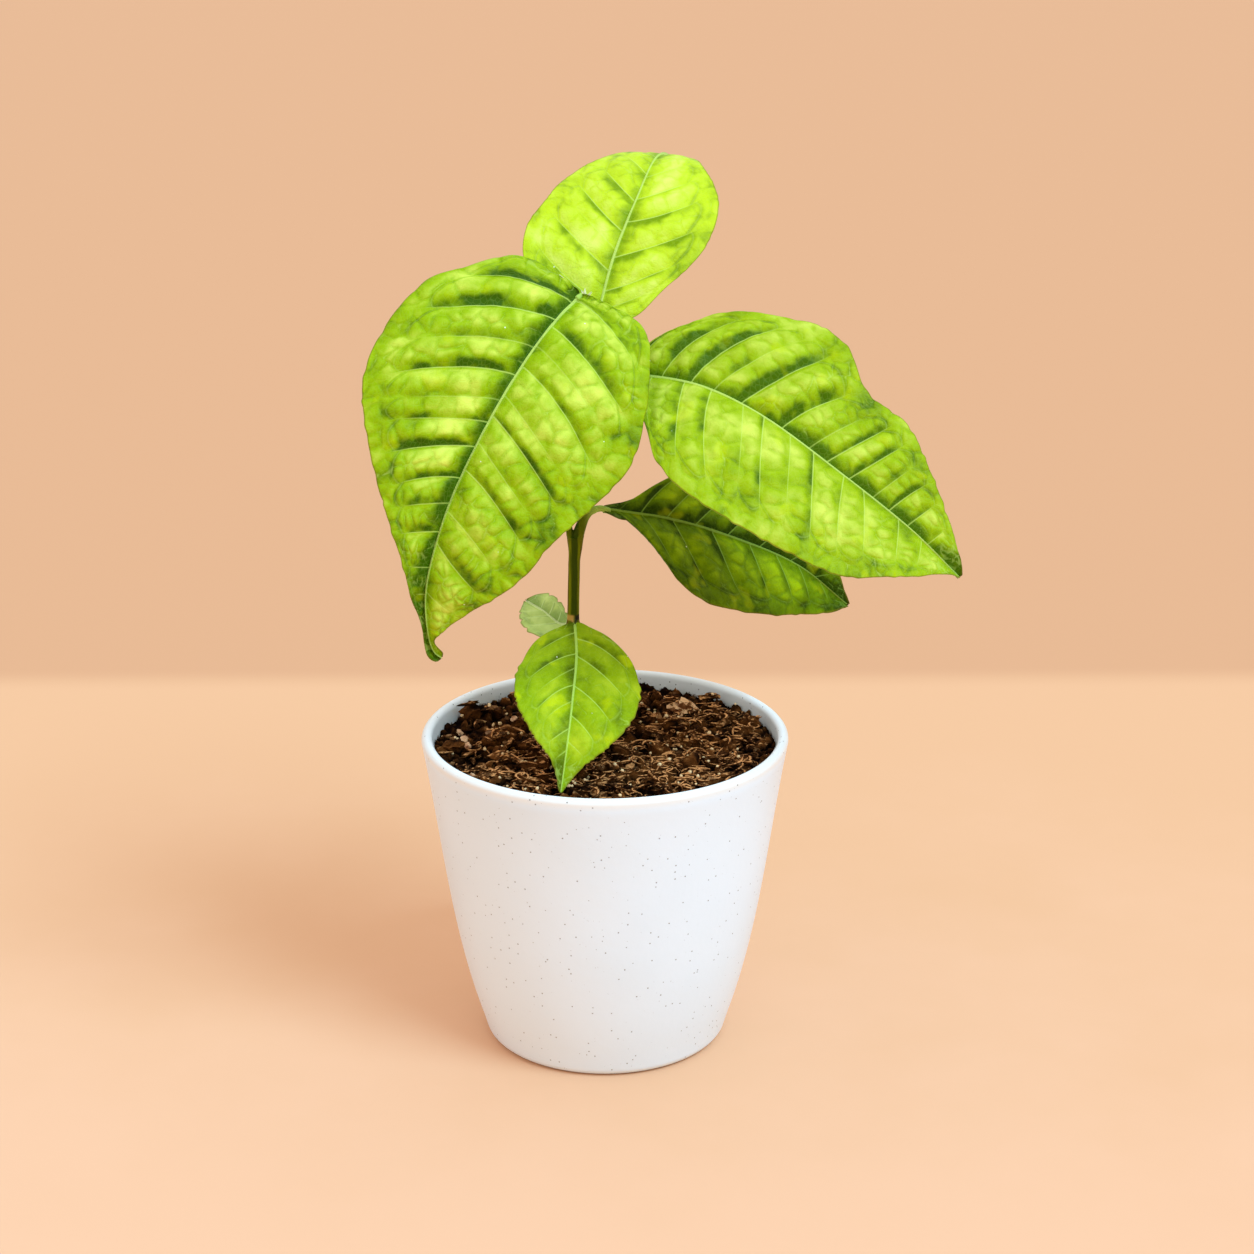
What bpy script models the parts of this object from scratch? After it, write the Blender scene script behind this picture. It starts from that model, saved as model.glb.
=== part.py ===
"""Potted bael seedling: a tapered white pot filled with soil, a green stem that forks once,
and six single leaves: four large ones above and a pair of small first leaves low on the stem.

Metres, +Z up. The origin is the centre of the pot's flat underside, and the front is -Y.
Sizes below are in millimetres and are scaled by MM where meshes are made.
"""
import math

import bmesh
import bpy
import numpy as np
from mathutils import Vector, noise

MM = 0.001
GAP = 0.3                    # clearance between neighbouring pieces

# Pot: a taper that bows outward, most in its lower half, with a round lip and foot.
POT_HEIGHT = 88.1
POT_RIM_RADIUS = 50.2        # of the wall line carried up to the top of the lip
POT_BASE_RADIUS = 32.5       # where the wall line meets the ground, before the foot is rounded
POT_BOW = 2.0
POT_BOW_LOW = 0.86           # how far the bow is drawn towards the foot
POT_FOOT_ROUND = 3.2
POT_INNER_ROUND = 3.0
POT_WALL = 2.6
POT_LIP = 3.0
POT_FLOOR = 3.5
POT_SIDES = 60
WALL_LEVELS = (80, 60, 42, 28, 14)      # where the inner wall's line is read

# Soil: fills the pot, with a lumpy top that is level where the stem stands.
SOIL_EDGE = 84.2
SOIL_CROWN = 85.3
SOIL_LUMP = 0.9
SOIL_LUMP_SIZE = 9.0
FACET_SLACK = 0.2            # the pot's flat-sided wall comes in this far between its corners
SOIL_RINGS = 15
SOIL_SIDES = 44

# Stem: nearly upright, from a flared foot on the soil to the fork.
STEM_FOOT = (-8.8, 0.4)
STEM_NODE = (-8.5, 0.0, 119.5)
STEM_FORK = (-7.9, 0.0, 143.6)
SEAT_LEVEL = 85.0            # level of the soil under the stem
SEAT_RADIUS = 5.0
STEM_RADIUS = 1.55
FLARE_RADIUS = 2.9
FLARE_HEIGHT = 5.0
FORK_RADIUS = 2.05
FORK_SWELL = 6.0

# Limbs above the fork: centre line points and the radius at foot and tip.
LEADER_PATH = ((-9.2, 0.0, 143.9), (-9.9, 0.3, 152), (-9.3, 0.9, 168), (-7.0, 0.6, 188),
               (-5.6, 0.2, 200), (-5.0, 0.0, 207.3))
LEADER_RADII = (0.9, 0.8)
SHOOT_PATH = ((-6.7, 0.0, 143.9), (-5.8, 0.1, 147.4), (-4.3, 0.3, 149.9), (-2.2, 0.9, 150.8))
SHOOT_RADII = (1.3, 0.95)
BUD_RADIUS = 0.9
BUD_HEIGHT = 3.0

YOUNG_GREEN = (0.30, 0.55, 0.03)
OLD_GREEN = (0.13, 0.30, 0.02)
PALE_GREEN = (0.32, 0.50, 0.16)

# Leaves. midrib: points the midrib passes through, from the base of the blade to its tip.
# face: which way the upper side looks, at the base and at the tip. fold: how far each half
# rises from the midrib, in degrees, at both ends. droop: how far it sinks again, 30 mm out.
# left, right: the outline of each half as (along the midrib, out from it).
# foot: where the stalk leaves its limb, as (limb point, direction away from it, limb radius).
LEAVES = {
    "leaf_left": dict(
        midrib=((-6, -4, 209.5), (-13, -14, 204.5), (-25, -27, 189.5), (-39, -38, 163.5),
                (-45, -42, 142.5), (-45.3, -41.8, 131.5), (-44.7, -41.2, 125.8),
                (-43.2, -40.6, 123.9), (-41.3, -40.2, 123.6)),
        face=((0.05, -0.72, 0.7), (0, -0.95, 0.2)), fold=(16, 16), droop=6.0,
        left=((0, 1), (-0.3, 7), (0.8, 14.5), (5, 21), (12, 26.5), (21, 33.3), (30, 35.7),
              (43, 35.8), (52, 33), (62, 25.4), (73, 15.9), (85, 7), (95, 2), (102, 1.3),
              (109, 1.2), (112.5, 0.6)),
        right=((0, 1), (-0.7, 12.7), (2, 21.2), (11, 28.7), (24, 35.2), (38, 38.3), (53, 34.7),
               (68, 28.8), (81, 24), (94, 13.8), (101, 5.5), (104.5, 1.4), (109, 1.2), (112.5, 0.6)),
        foot=((-5.2, 0.1, 205.8), (-0.2, -0.98, 0), 0.85), stalk=0.8, grid=(20, 10),
        colour=YOUNG_GREEN),
    "leaf_top": dict(
        midrib=((-2, 3, 201), (2.5, 12, 216), (9, 25, 230), (14, 40, 237.4), (18, 54, 235.6),
                (21, 66, 227.5)),
        face=((0, -0.85, 0.5), (0.1, 0.35, 1)), fold=(12, 0), droop=6.0,
        left=((0, 1), (3, 9.5), (12, 15.8), (22, 21.3), (31, 23.1), (42, 21.5), (50, 18),
              (57, 13.5), (65, 9), (75, 4.5), (85, 0.5)),
        right=((0, 1), (1, 9), (5, 17), (12, 22.8), (20, 24.8), (30, 23), (38, 21.6),
               (45, 19), (52, 15), (61, 10.5), (74, 4.5), (85, 0.5)),
        foot=((-5.7, 0.2, 198.6), (0.6, 0.8, 0), 0.95), stalk=0.8, grid=(16, 10),
        colour=YOUNG_GREEN),
    "leaf_right": dict(
        midrib=((2, -3.5, 188.5), (9.5, -8, 189.5), (24.5, -17, 189), (39.5, -25, 183.5),
                (60, -33, 170), (78, -39, 156.5), (89.5, -42, 145.5)),
        face=((0, -0.65, 0.8), (0.1, -0.75, 0.65)), fold=(14, 14), droop=6.0,
        left=((0, 1), (6, 6.5), (18.6, 17.2), (29, 27.7), (41, 31.6), (56, 31.4), (72, 28.5),
              (86, 24), (97.5, 14.1), (107, 2.2), (109.6, 0.5)),
        right=((0, 1), (4, 4), (8.5, 8.4), (19, 19.7), (30, 27), (42, 31.8), (51, 29.8),
               (62, 22.4), (74, 21.9), (84, 16.8), (95, 10.1), (106, 3.2), (109.6, 0.5)),
        foot=((-7.1, 0.6, 187), (0.87, -0.45, 0.15), 1.0), stalk=0.85, grid=(18, 10),
        colour=YOUNG_GREEN),
    "leaf_lower_right": dict(
        midrib=((0, 2, 150.5), (17.5, 8, 146), (34, 13, 139.5), (53, 18, 129.5),
                (67.5, 22, 116.5)),
        face=((-0.1, -0.65, 0.75), (-0.05, -0.75, 0.65)), fold=(12, 12), droop=6.0,
        left=((0, 1), (4, 3.3), (8, 3.5), (13, 10.4), (20, 20), (28, 23.5), (40, 22.5),
              (56, 18.3), (68, 11.5), (75, 5.8), (79.5, 0.5)),
        right=((0, 1), (7, 3.6), (13, 6.8), (20, 13), (30, 20), (42, 21.5), (55, 17),
               (65, 10), (72, 5.1), (79.5, 0.5)),
        foot=((-2.2, 0.9, 150.8), (0.87, 0.48, 0), 0.0), stalk=0.85, grid=(16, 10),
        colour=OLD_GREEN),
    "leaf_front": dict(
        midrib=((-8, -3, 120), (-7.5, -11, 114), (-8.5, -24, 106), (-9.5, -32, 99.5),
                (-11.5, -40, 86.5)),
        face=((0, -0.35, 0.95), (0, -0.9, 0.3)), fold=(12, 12), droop=9.0,
        left=((0, 0.8), (1.5, 4.3), (6, 11.1), (13, 14.6), (21, 16.1), (29, 14.5), (36, 10.4),
              (44, 3.3), (51.1, 0.4)),
        right=((0, 0.8), (1.5, 3.2), (6, 9.1), (13, 15.2), (22, 18.1), (31, 16.3),
               (38, 11.2), (45, 4), (51.1, 0.4)),
        foot=((-8.5, 0, 119.9), (0.1, -1, 0), 1.65), stalk=0.6, grid=(14, 8),
        colour=OLD_GREEN),
    "leaf_back": dict(
        midrib=((-9.5, 3.2, 118), (-12, 8, 116.2), (-17, 17, 117), (-22, 26, 117)),
        face=((0.1, -0.75, 0.65), (0.1, -0.6, 0.8)), fold=(10, 10), droop=9.0,
        left=((0, 0.8), (3, 2), (9, 3.8), (16, 4.9), (22, 4.8), (25, 3), (26.4, 0.4)),
        right=((0, 0.8), (3, 7.2), (9, 8.5), (14, 7.8), (21, 4.4), (26.4, 0.4)),
        foot=((-8.5, 0, 118.8), (-0.25, 0.97, 0), 1.65), stalk=0.5, grid=(10, 6),
        colour=PALE_GREEN),
}
BLADE_SHARE = 0.0105         # blade thickness as a share of the leaf's length
BLADE_LEAST = 0.6
ROW_POWER = 1.5              # rows start closer together near the base of the midrib
RIB_SHARE = 0.88             # how much of the blade the rib under it runs along
RIB_POINTS = 12


def clear_scene():
    for thing in list(bpy.data.objects):
        bpy.data.objects.remove(thing, do_unlink=True)


def material(name, colour, roughness, metallic=0.0):
    made = bpy.data.materials.new(name)
    made.use_nodes = True
    shader = made.node_tree.nodes["Principled BSDF"]
    shader.inputs["Base Color"].default_value = (*colour, 1.0)
    shader.inputs["Roughness"].default_value = roughness
    shader.inputs["Metallic"].default_value = metallic
    return made


def add_object(name, mesh, finish, smooth_angle=40):
    """Link a mesh as a named object with its own material, shaded smooth."""
    thing = bpy.data.objects.new(name, mesh)
    bpy.context.scene.collection.objects.link(thing)
    mesh.materials.clear()
    mesh.materials.append(finish)
    mesh.shade_smooth()
    mesh.set_sharp_from_angle(angle=math.radians(smooth_angle))
    return thing


def mesh_from(bm, name):
    bmesh.ops.recalc_face_normals(bm, faces=bm.faces)
    mesh = bpy.data.meshes.new(name)
    bm.to_mesh(mesh)
    bm.free()
    return mesh


def smooth_path(points, count):
    """Evenly spaced points along a centripetal curve that passes through the given ones."""
    given = np.array(points, dtype=float)
    given = np.vstack([2 * given[0] - given[1], given, 2 * given[-1] - given[-2]])
    knots = np.concatenate([[0], np.cumsum(np.linalg.norm(np.diff(given, axis=0), axis=1) ** 0.5)])
    fine = []
    for i in range(1, len(given) - 2):
        a, b, c, d = given[i - 1:i + 3]
        ka, kb, kc, kd = knots[i - 1:i + 3]
        for t in np.linspace(kb, kc, 25)[:-1]:
            ab = (kb - t) / (kb - ka) * a + (t - ka) / (kb - ka) * b
            bc = (kc - t) / (kc - kb) * b + (t - kb) / (kc - kb) * c
            cd = (kd - t) / (kd - kc) * c + (t - kc) / (kd - kc) * d
            abc = (kc - t) / (kc - ka) * ab + (t - ka) / (kc - ka) * bc
            bcd = (kd - t) / (kd - kb) * bc + (t - kb) / (kd - kb) * cd
            fine.append((kc - t) / (kc - kb) * abc + (t - kb) / (kc - kb) * bcd)
    fine.append(given[-2])
    fine = np.array(fine)
    run = np.concatenate([[0], np.cumsum(np.linalg.norm(np.diff(fine, axis=0), axis=1))])
    steps = np.linspace(0, run[-1], count)
    return np.stack([np.interp(steps, run, fine[:, k]) for k in range(fine.shape[1])], axis=1)


def spin_profile(profile, sides, name):
    """Turn a closed (radius, height) profile in millimetres about the Z axis."""
    bm = bmesh.new()
    verts = [bm.verts.new((r * MM, 0, z * MM)) for r, z in profile]
    edges = [bm.edges.new(pair) for pair in zip(verts[:-1], verts[1:])]
    bmesh.ops.spin(bm, geom=verts + edges, cent=(0, 0, 0), axis=(0, 0, 1),
                   angle=math.tau, steps=sides, use_merge=True)
    bmesh.ops.remove_doubles(bm, verts=bm.verts, dist=0.01 * MM)
    return mesh_from(bm, name)


def tube(path, radii, name, bevel_resolution=3):
    """A solid round limb along a path, with a radius at each point and flat ends."""
    curve = bpy.data.curves.new(name, "CURVE")
    curve.dimensions = "3D"
    curve.bevel_depth = MM
    curve.bevel_resolution = bevel_resolution
    curve.use_fill_caps = True
    spline = curve.splines.new("POLY")
    spline.points.add(len(path) - 1)
    for point, place, radius in zip(spline.points, path, radii):
        point.co = (*(np.array(place) * MM), 1)
        point.radius = radius
    carrier = bpy.data.objects.new(name, curve)
    bpy.context.scene.collection.objects.link(carrier)
    evaluated = carrier.evaluated_get(bpy.context.evaluated_depsgraph_get())
    made = bpy.data.meshes.new_from_object(evaluated)
    bpy.data.objects.remove(carrier, do_unlink=True)
    bm = bmesh.new()
    bm.from_mesh(made)
    bmesh.ops.remove_doubles(bm, verts=bm.verts, dist=0.001 * MM)
    return mesh_from(bm, name)


def wall_radius(z):
    """Outer radius of the pot at a height, before the foot is rounded."""
    share = z / POT_HEIGHT
    taper = POT_BASE_RADIUS + (POT_RIM_RADIUS - POT_BASE_RADIUS) * share
    return taper + POT_BOW * 4 * share * (1 - share) * (1 + POT_BOW_LOW * (1 - 2 * share))


def inner_radius(z):
    return wall_radius(z) - POT_WALL


def foot_round(centre_radius, centre_height, radius, steps):
    """Points of the quarter turn from the flat underside up to the wall."""
    angles = np.linspace(-90, -12, steps)
    return [(centre_radius + radius * math.cos(math.radians(a)),
             centre_height + radius * math.sin(math.radians(a))) for a in angles]


def make_pot():
    foot_centre = wall_radius(POT_FOOT_ROUND) - POT_FOOT_ROUND
    profile = [(0, 0)] + foot_round(foot_centre, POT_FOOT_ROUND, POT_FOOT_ROUND, 5)
    lip = POT_LIP / 2
    profile += [(wall_radius(z), z) for z in (7, 13, 20, 30, 42, 56, 70, POT_HEIGHT - lip)]
    lip_centre = wall_radius(POT_HEIGHT - lip) - lip
    for angle in (30, 60, 90, 120, 150, 180):
        profile.append((lip_centre + lip * math.cos(math.radians(angle)),
                        POT_HEIGHT - lip + lip * math.sin(math.radians(angle))))
    profile += [(inner_radius(z), z) for z in WALL_LEVELS]
    corner = inner_radius(POT_FLOOR + POT_INNER_ROUND) - POT_INNER_ROUND
    profile += reversed(foot_round(corner, POT_FLOOR + POT_INNER_ROUND, POT_INNER_ROUND, 4))
    profile.append((0, POT_FLOOR))
    add_object("pot", spin_profile(profile, POT_SIDES, "pot"),
               material("pot_white", (0.80, 0.80, 0.79), 0.45))


def soil_level(x, y):
    """Height of the soil at a place: a low crown, lumps, and a level seat for the stem."""
    reach = math.hypot(x, y) / inner_radius(SOIL_EDGE)
    level = SOIL_EDGE + (SOIL_CROWN - SOIL_EDGE) * (1 - reach ** 2)
    level += SOIL_LUMP * noise.noise(Vector((x, y, 3.0)) / SOIL_LUMP_SIZE)
    away = math.hypot(x - STEM_FOOT[0], y - STEM_FOOT[1])
    blend = min(max((away - SEAT_RADIUS) / SEAT_RADIUS, 0), 1)
    return SEAT_LEVEL + (level - SEAT_LEVEL) * blend


def make_soil():
    floor = POT_FLOOR + GAP
    corner = inner_radius(floor + POT_INNER_ROUND) - GAP - POT_INNER_ROUND
    profile = [(0, floor)] + foot_round(corner, floor + POT_INNER_ROUND, POT_INNER_ROUND, 4)
    profile += [(inner_radius(z) - GAP - FACET_SLACK, z) for z in reversed(WALL_LEVELS[1:])]
    edge = inner_radius(SOIL_EDGE) - GAP - FACET_SLACK
    profile += [(edge * (1 - k / SOIL_RINGS), SOIL_EDGE) for k in range(SOIL_RINGS)]
    profile.append((0, SOIL_EDGE))
    mesh = spin_profile(profile, SOIL_SIDES, "soil")
    for vert in mesh.vertices:
        if vert.co.z > (SOIL_EDGE - 1) * MM:
            vert.co.z = soil_level(vert.co.x / MM, vert.co.y / MM) * MM
    add_object("soil", mesh, material("soil_brown", (0.09, 0.045, 0.025), 0.95))


def stem_radius(z):
    """Trunk radius: a flare at the foot, a slow taper, and a swelling under the fork."""
    foot = max(1 - (z - SEAT_LEVEL) / FLARE_HEIGHT, 0) ** 2
    fork = max(1 - (STEM_FORK[2] - z) / FORK_SWELL, 0) ** 1.5
    taper = 0.2 * (1 - (z - SEAT_LEVEL) / (STEM_FORK[2] - SEAT_LEVEL))
    return STEM_RADIUS + taper + (FLARE_RADIUS - STEM_RADIUS) * foot + (FORK_RADIUS - STEM_RADIUS) * fork


def make_limbs():
    bark = material("stem_green", (0.10, 0.17, 0.03), 0.55)
    foot = SEAT_LEVEL + GAP
    through = ((*STEM_FOOT, foot), (*STEM_FOOT, foot + 2.5), STEM_NODE, STEM_FORK)
    path = smooth_path(through, 90)
    heights = (0, 1, 2, 3.5, 5, 14, 24, 34, 44, 52, 54.5, 57, 100)
    rows = [np.argmin(abs(path[:, 2] - foot - h)) for h in heights]
    add_object("stem", tube(path[rows], [stem_radius(path[k, 2]) for k in rows], "stem", 4), bark)
    leader = smooth_path(LEADER_PATH, 16)
    add_object("leader", tube(leader, np.linspace(*LEADER_RADII, 16), "leader"), bark)
    shoot = smooth_path(SHOOT_PATH, 9)
    add_object("side_shoot", tube(shoot, np.linspace(*SHOOT_RADII, 9), "side_shoot"), bark)


def make_bud():
    bm = bmesh.new()
    bmesh.ops.create_uvsphere(bm, u_segments=12, v_segments=8, radius=1)
    centre = Vector(LEADER_PATH[-1]) + Vector((0, 0, GAP + BUD_HEIGHT / 2))
    for vert in bm.verts:
        narrow = 1 - 0.45 * max(vert.co.z, 0)
        vert.co.x *= BUD_RADIUS * narrow
        vert.co.y *= BUD_RADIUS * narrow
        vert.co.z *= BUD_HEIGHT / 2
        vert.co = (vert.co + centre) * MM
    add_object("bud", mesh_from(bm, "bud"), material("bud_cream", (0.75, 0.72, 0.35), 0.5))


class Blade:
    """The curved sheet of one leaf: places on it are given along the midrib and out from it."""

    def __init__(self, leaf):
        self.line = smooth_path(leaf["midrib"], 160)
        self.run = np.concatenate([[0], np.cumsum(np.linalg.norm(np.diff(self.line, axis=0), axis=1))])
        self.length = self.run[-1]
        ahead = np.gradient(self.line, self.run, axis=0)
        self.ahead = ahead / np.linalg.norm(ahead, axis=1)[:, None]
        share = (self.run / self.length)[:, None]
        face = np.array(leaf["face"][0]) * (1 - share) + np.array(leaf["face"][1]) * share
        face = face - (face * self.ahead).sum(axis=1)[:, None] * self.ahead
        self.face = face / np.linalg.norm(face, axis=1)[:, None]
        self.side = np.cross(self.ahead, self.face)
        self.fold = leaf["fold"]
        self.droop = leaf["droop"] / 30 ** 2

    def read(self, table, along):
        return np.array([np.interp(along, self.run, table[:, k]) for k in range(3)])

    def place(self, along, out, lift=0.0):
        base = self.read(self.line, along)
        base = base + min(along, 0) * self.ahead[0] + max(along - self.length, 0) * self.ahead[-1]
        fold = math.radians(np.interp(along, (0, self.length), self.fold))
        rise = abs(out) * math.sin(fold) - self.droop * out * out + lift
        across = out * math.cos(fold)
        return base + across * self.read(self.side, along) + rise * self.read(self.face, along)


def row_shares(rows):
    """Where the rows of a blade fall from base to tip, closer together at both ends."""
    steps = np.linspace(0, 1, rows + 1)
    return (steps + (1 - np.cos(math.pi * steps)) / 2) / 2


def make_blade(name, leaf, blade, thickness):
    """A grid whose rows run from the midrib out to the two margins, given its thickness."""
    rows, columns = leaf["grid"]
    shares = row_shares(rows)
    fine = np.linspace(0, 1, 400)
    margins = {}
    for side, outline in ((1, leaf["left"]), (-1, leaf["right"])):
        edge = smooth_path(outline, len(fine))
        margins[side] = [[np.interp(share, fine, edge[:, k]) for k in (0, 1)] for share in shares]
    bm = bmesh.new()
    bmesh.ops.create_grid(bm, x_segments=columns, y_segments=rows, size=0.5)
    for vert in bm.verts:
        across = vert.co.x * 2
        row = round((vert.co.y + 0.5) * rows)
        start = blade.length * shares[row] ** ROW_POWER
        margin = margins[1 if across > 0 else -1][row]
        along = start + (margin[0] - start) * abs(across)
        vert.co = blade.place(along, margin[1] * across) * MM
    bmesh.ops.recalc_face_normals(bm, faces=bm.faces)
    middle = bm.faces[len(bm.faces) // 2]
    along = blade.length / 3
    if middle.normal.dot(Vector(blade.read(blade.face, along))) < 0:
        bmesh.ops.reverse_faces(bm, faces=bm.faces)
    bmesh.ops.solidify(bm, geom=bm.faces, thickness=thickness * MM)
    return mesh_from(bm, name)


def make_stalk(name, leaf, blade, thickness):
    """The stalk and the rib under the blade, as one tapering limb from its foot on the limb."""
    limb, away, limb_radius = (np.array(value, dtype=float) for value in leaf["foot"])
    away = away / np.linalg.norm(away)
    foot = limb + away * (limb_radius + GAP)
    under = -(thickness + leaf["stalk"] * 0.5)
    rib = [blade.place(blade.length * RIB_SHARE * k / RIB_POINTS, 0, under)
           for k in range(RIB_POINTS + 1)]
    path = [foot, foot + away * 0.7] + rib
    radii = [leaf["stalk"]] * 2 + list(np.linspace(leaf["stalk"], leaf["stalk"] * 0.4, len(rib)))
    return tube(path, radii, name, 2)


def make_leaf(name, leaf, finish):
    """Blade and stalk, joined into one solid."""
    blade = Blade(leaf)
    thickness = max(blade.length * BLADE_SHARE, BLADE_LEAST)
    body = add_object(name, make_blade(name, leaf, blade, thickness), finish)
    stalk = add_object(name + "_stalk", make_stalk(name + "_stalk", leaf, blade, thickness), finish)
    join = body.modifiers.new("join", "BOOLEAN")
    join.operation = "UNION"
    join.solver = "EXACT"
    join.object = stalk
    joined = bpy.data.meshes.new_from_object(body.evaluated_get(bpy.context.evaluated_depsgraph_get()))
    bpy.data.objects.remove(body, do_unlink=True)
    bpy.data.objects.remove(stalk, do_unlink=True)
    joined.name = name
    add_object(name, joined, finish)


def main():
    clear_scene()
    make_pot()
    make_soil()
    make_limbs()
    make_bud()
    for name, leaf in LEAVES.items():
        make_leaf(name, leaf, material(name + "_green", leaf["colour"], 0.45))


main()
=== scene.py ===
"""A bael seedling in a white pot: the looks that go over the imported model."""

import math

import bmesh
import bpy
import numpy as np
from mathutils import Matrix, Vector, noise


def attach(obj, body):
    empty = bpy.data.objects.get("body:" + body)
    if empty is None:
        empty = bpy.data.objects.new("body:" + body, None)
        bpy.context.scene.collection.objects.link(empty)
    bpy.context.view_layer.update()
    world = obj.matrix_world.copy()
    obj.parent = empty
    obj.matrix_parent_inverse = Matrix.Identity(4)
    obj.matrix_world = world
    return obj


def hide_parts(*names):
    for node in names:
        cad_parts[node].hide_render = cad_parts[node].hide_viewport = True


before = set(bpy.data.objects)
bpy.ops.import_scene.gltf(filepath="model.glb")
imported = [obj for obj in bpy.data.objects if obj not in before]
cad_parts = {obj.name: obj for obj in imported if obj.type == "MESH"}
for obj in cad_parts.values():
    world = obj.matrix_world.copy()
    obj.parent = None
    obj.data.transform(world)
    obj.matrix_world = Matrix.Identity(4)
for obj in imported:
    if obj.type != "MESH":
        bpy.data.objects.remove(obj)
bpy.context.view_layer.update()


# Camera. Sizes in this file are millimetres and are scaled by MM where a mesh is made; cameras,
# lights and floor are in metres. The lens looks down on the pot from the front.
MM = 0.001
LENS = 80.4
SENSOR_WIDTH = 36
NEAREST = 0.01                     # nothing closer to the lens is drawn
EYE = (0.0, -0.7114, 0.3653)
LOOKS_DOWN = 19.177
LOOKS_RIGHT = 0.483

lens = bpy.data.cameras.new("camera")
lens.lens = LENS
lens.sensor_width = SENSOR_WIDTH
lens.clip_start = NEAREST
camera = bpy.data.objects.new("camera", lens)
camera.location = EYE
camera.rotation_euler = (math.radians(90 - LOOKS_DOWN), 0, math.radians(-LOOKS_RIGHT))
bpy.context.scene.collection.objects.link(camera)
bpy.context.scene.camera = camera


# Studio. A wide pale peach floor that is a shade deeper far behind the pot, an even sky of soft
# light that is strongest overhead, and one broad lamp high on the right.
FLOOR_SIZE = 16.0
FLOOR_NEAR = (0.860, 0.482, 0.284)
FLOOR_MIDDLE = (0.800, 0.433, 0.231)
FLOOR_FAR = (0.693, 0.351, 0.183)
FLOOR_FALL = (-0.15, 0.20)         # where the floor's tone changes, in metres behind the pot
FLOOR_TURN = (0.268, 0.292)
FLOOR_CLOUD = (9.0, 4.0, 0.6)      # scale, detail and roughness of the floor's faint cloud
FLOOR_CLOUDING = 0.35
SKY = (0.98, 1.0, 1.04)
SKY_LEVEL = 0.66                   # strength at the horizon
SKY_TOP = 1.04                     # strength overhead
SKY_RISE = (-0.4, 1.0)             # from which height of a direction to which the sky brightens
KEY_FROM = (0.50, -0.50, 0.90)
KEY_SPREAD = 26
KEY_POWER = 1.80
KEY_COLOUR = (0.50, 0.96, 1.34)


class Value:
    """One value of a finish, so that a sum of values can be written as a sum."""

    def __init__(self, finish, socket):
        self.finish, self.socket = finish, socket

    def maths(self, operation, *terms):
        return self.finish.node("Math", {"operation": operation}, dict(enumerate(terms)))

    def __add__(self, other):
        return self.maths("ADD", self, other)

    def __sub__(self, other):
        return self.maths("SUBTRACT", self, other)

    def __mul__(self, other):
        return self.maths("MULTIPLY", self, other)

    def __truediv__(self, other):
        return self.maths("DIVIDE", self, other)

    def __pow__(self, other):
        return self.maths("POWER", self, other)

    def __rsub__(self, other):
        return self.maths("SUBTRACT", other, self)

    def __abs__(self):
        return self.maths("ABSOLUTE", self)

    __radd__ = __add__
    __rmul__ = __mul__

    def larger(self, other):
        return self.maths("MAXIMUM", self, other)

    def fraction(self):
        return self.maths("FRACT", self)

    def sine(self):
        return self.maths("SINE", self)

    def to_whole(self):
        """How far the value is from the nearest whole number."""
        return self.maths("PINGPONG", self, 0.5)

    def rise(self, low, high):
        """0 at low, 1 at high and smooth between; low may be the larger."""
        return self.finish.node("MapRange", {"interpolation_type": "SMOOTHSTEP"},
                                {0: self, 1: low, 2: high, 3: 0.0, 4: 1.0})

    def parts(self):
        """The three parts of a place or direction."""
        node = self.finish.node("SeparateXYZ", {}, {0: self})
        return node, node.other(1), node.other(2)

    def other(self, output):
        """Another output of the node that this value comes from."""
        return Value(self.finish, self.socket.node.outputs[output])


class Pattern:
    """A tree of shader nodes and the few calls that a pattern is written with."""

    def __init__(self, owner, shader):
        owner.use_nodes = True
        self.tree = owner.node_tree
        self.shader = self.tree.nodes[shader]

    def join(self, socket, value):
        if isinstance(value, Value):
            self.tree.links.new(value.socket, socket)
        else:
            socket.default_value = (*value, 1) if socket.type == "RGBA" and len(value) == 3 else value

    def set(self, socket, value):
        self.join(self.shader.inputs[socket], value)

    def node(self, kind, settings, sockets, output=0):
        made = self.tree.nodes.new("ShaderNode" + kind)
        for key, value in settings.items():
            setattr(made, key, value)
        for key, value in sockets.items():
            self.join(made.inputs[key], value)
        return Value(self, made.outputs[output])

    def place(self, kind="Object"):
        """The point on the piece, in metres."""
        return self.node("TexCoord", {}, {}, kind)

    def read(self, attribute):
        """The three values that a mesh keeps under a name."""
        return self.node("Attribute", {"attribute_name": attribute}, {}, "Vector")

    def stretched(self, place, scale):
        return self.node("Mapping", {}, {"Vector": place, "Scale": scale})

    def cloud(self, place, scale, detail=2.0, roughness=0.5):
        sockets = {"Vector": place, "Scale": scale, "Detail": detail, "Roughness": roughness}
        return self.node("TexNoise", {}, sockets)

    def cells(self, place, scale, feature="F1", output="Distance", scatter=1.0):
        sockets = {"Vector": place, "Scale": scale, "Randomness": scatter}
        return self.node("TexVoronoi", {"feature": feature}, sockets, output)

    def blend(self, share, first, second):
        """The first colour where share is 0, and the second where it is 1."""
        return self.node("Mix", {"data_type": "RGBA"}, {0: share, 6: first, 7: second}, 2)


class Finish(Pattern):
    """A material on the standard shader."""

    def __init__(self, name, roughness, gloss=0.5):
        self.material = bpy.data.materials.new(name)
        super().__init__(self.material, "Principled BSDF")
        self.set("Roughness", roughness)
        self.set("Specular IOR Level", gloss)

    def relief(self, height, depth, strength=1.0):
        """Small relief, depth in millimetres for a height of 1."""
        bump = self.node("Bump", {}, {"Height": height, "Distance": depth * MM, "Strength": strength})
        self.set("Normal", bump)


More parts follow.
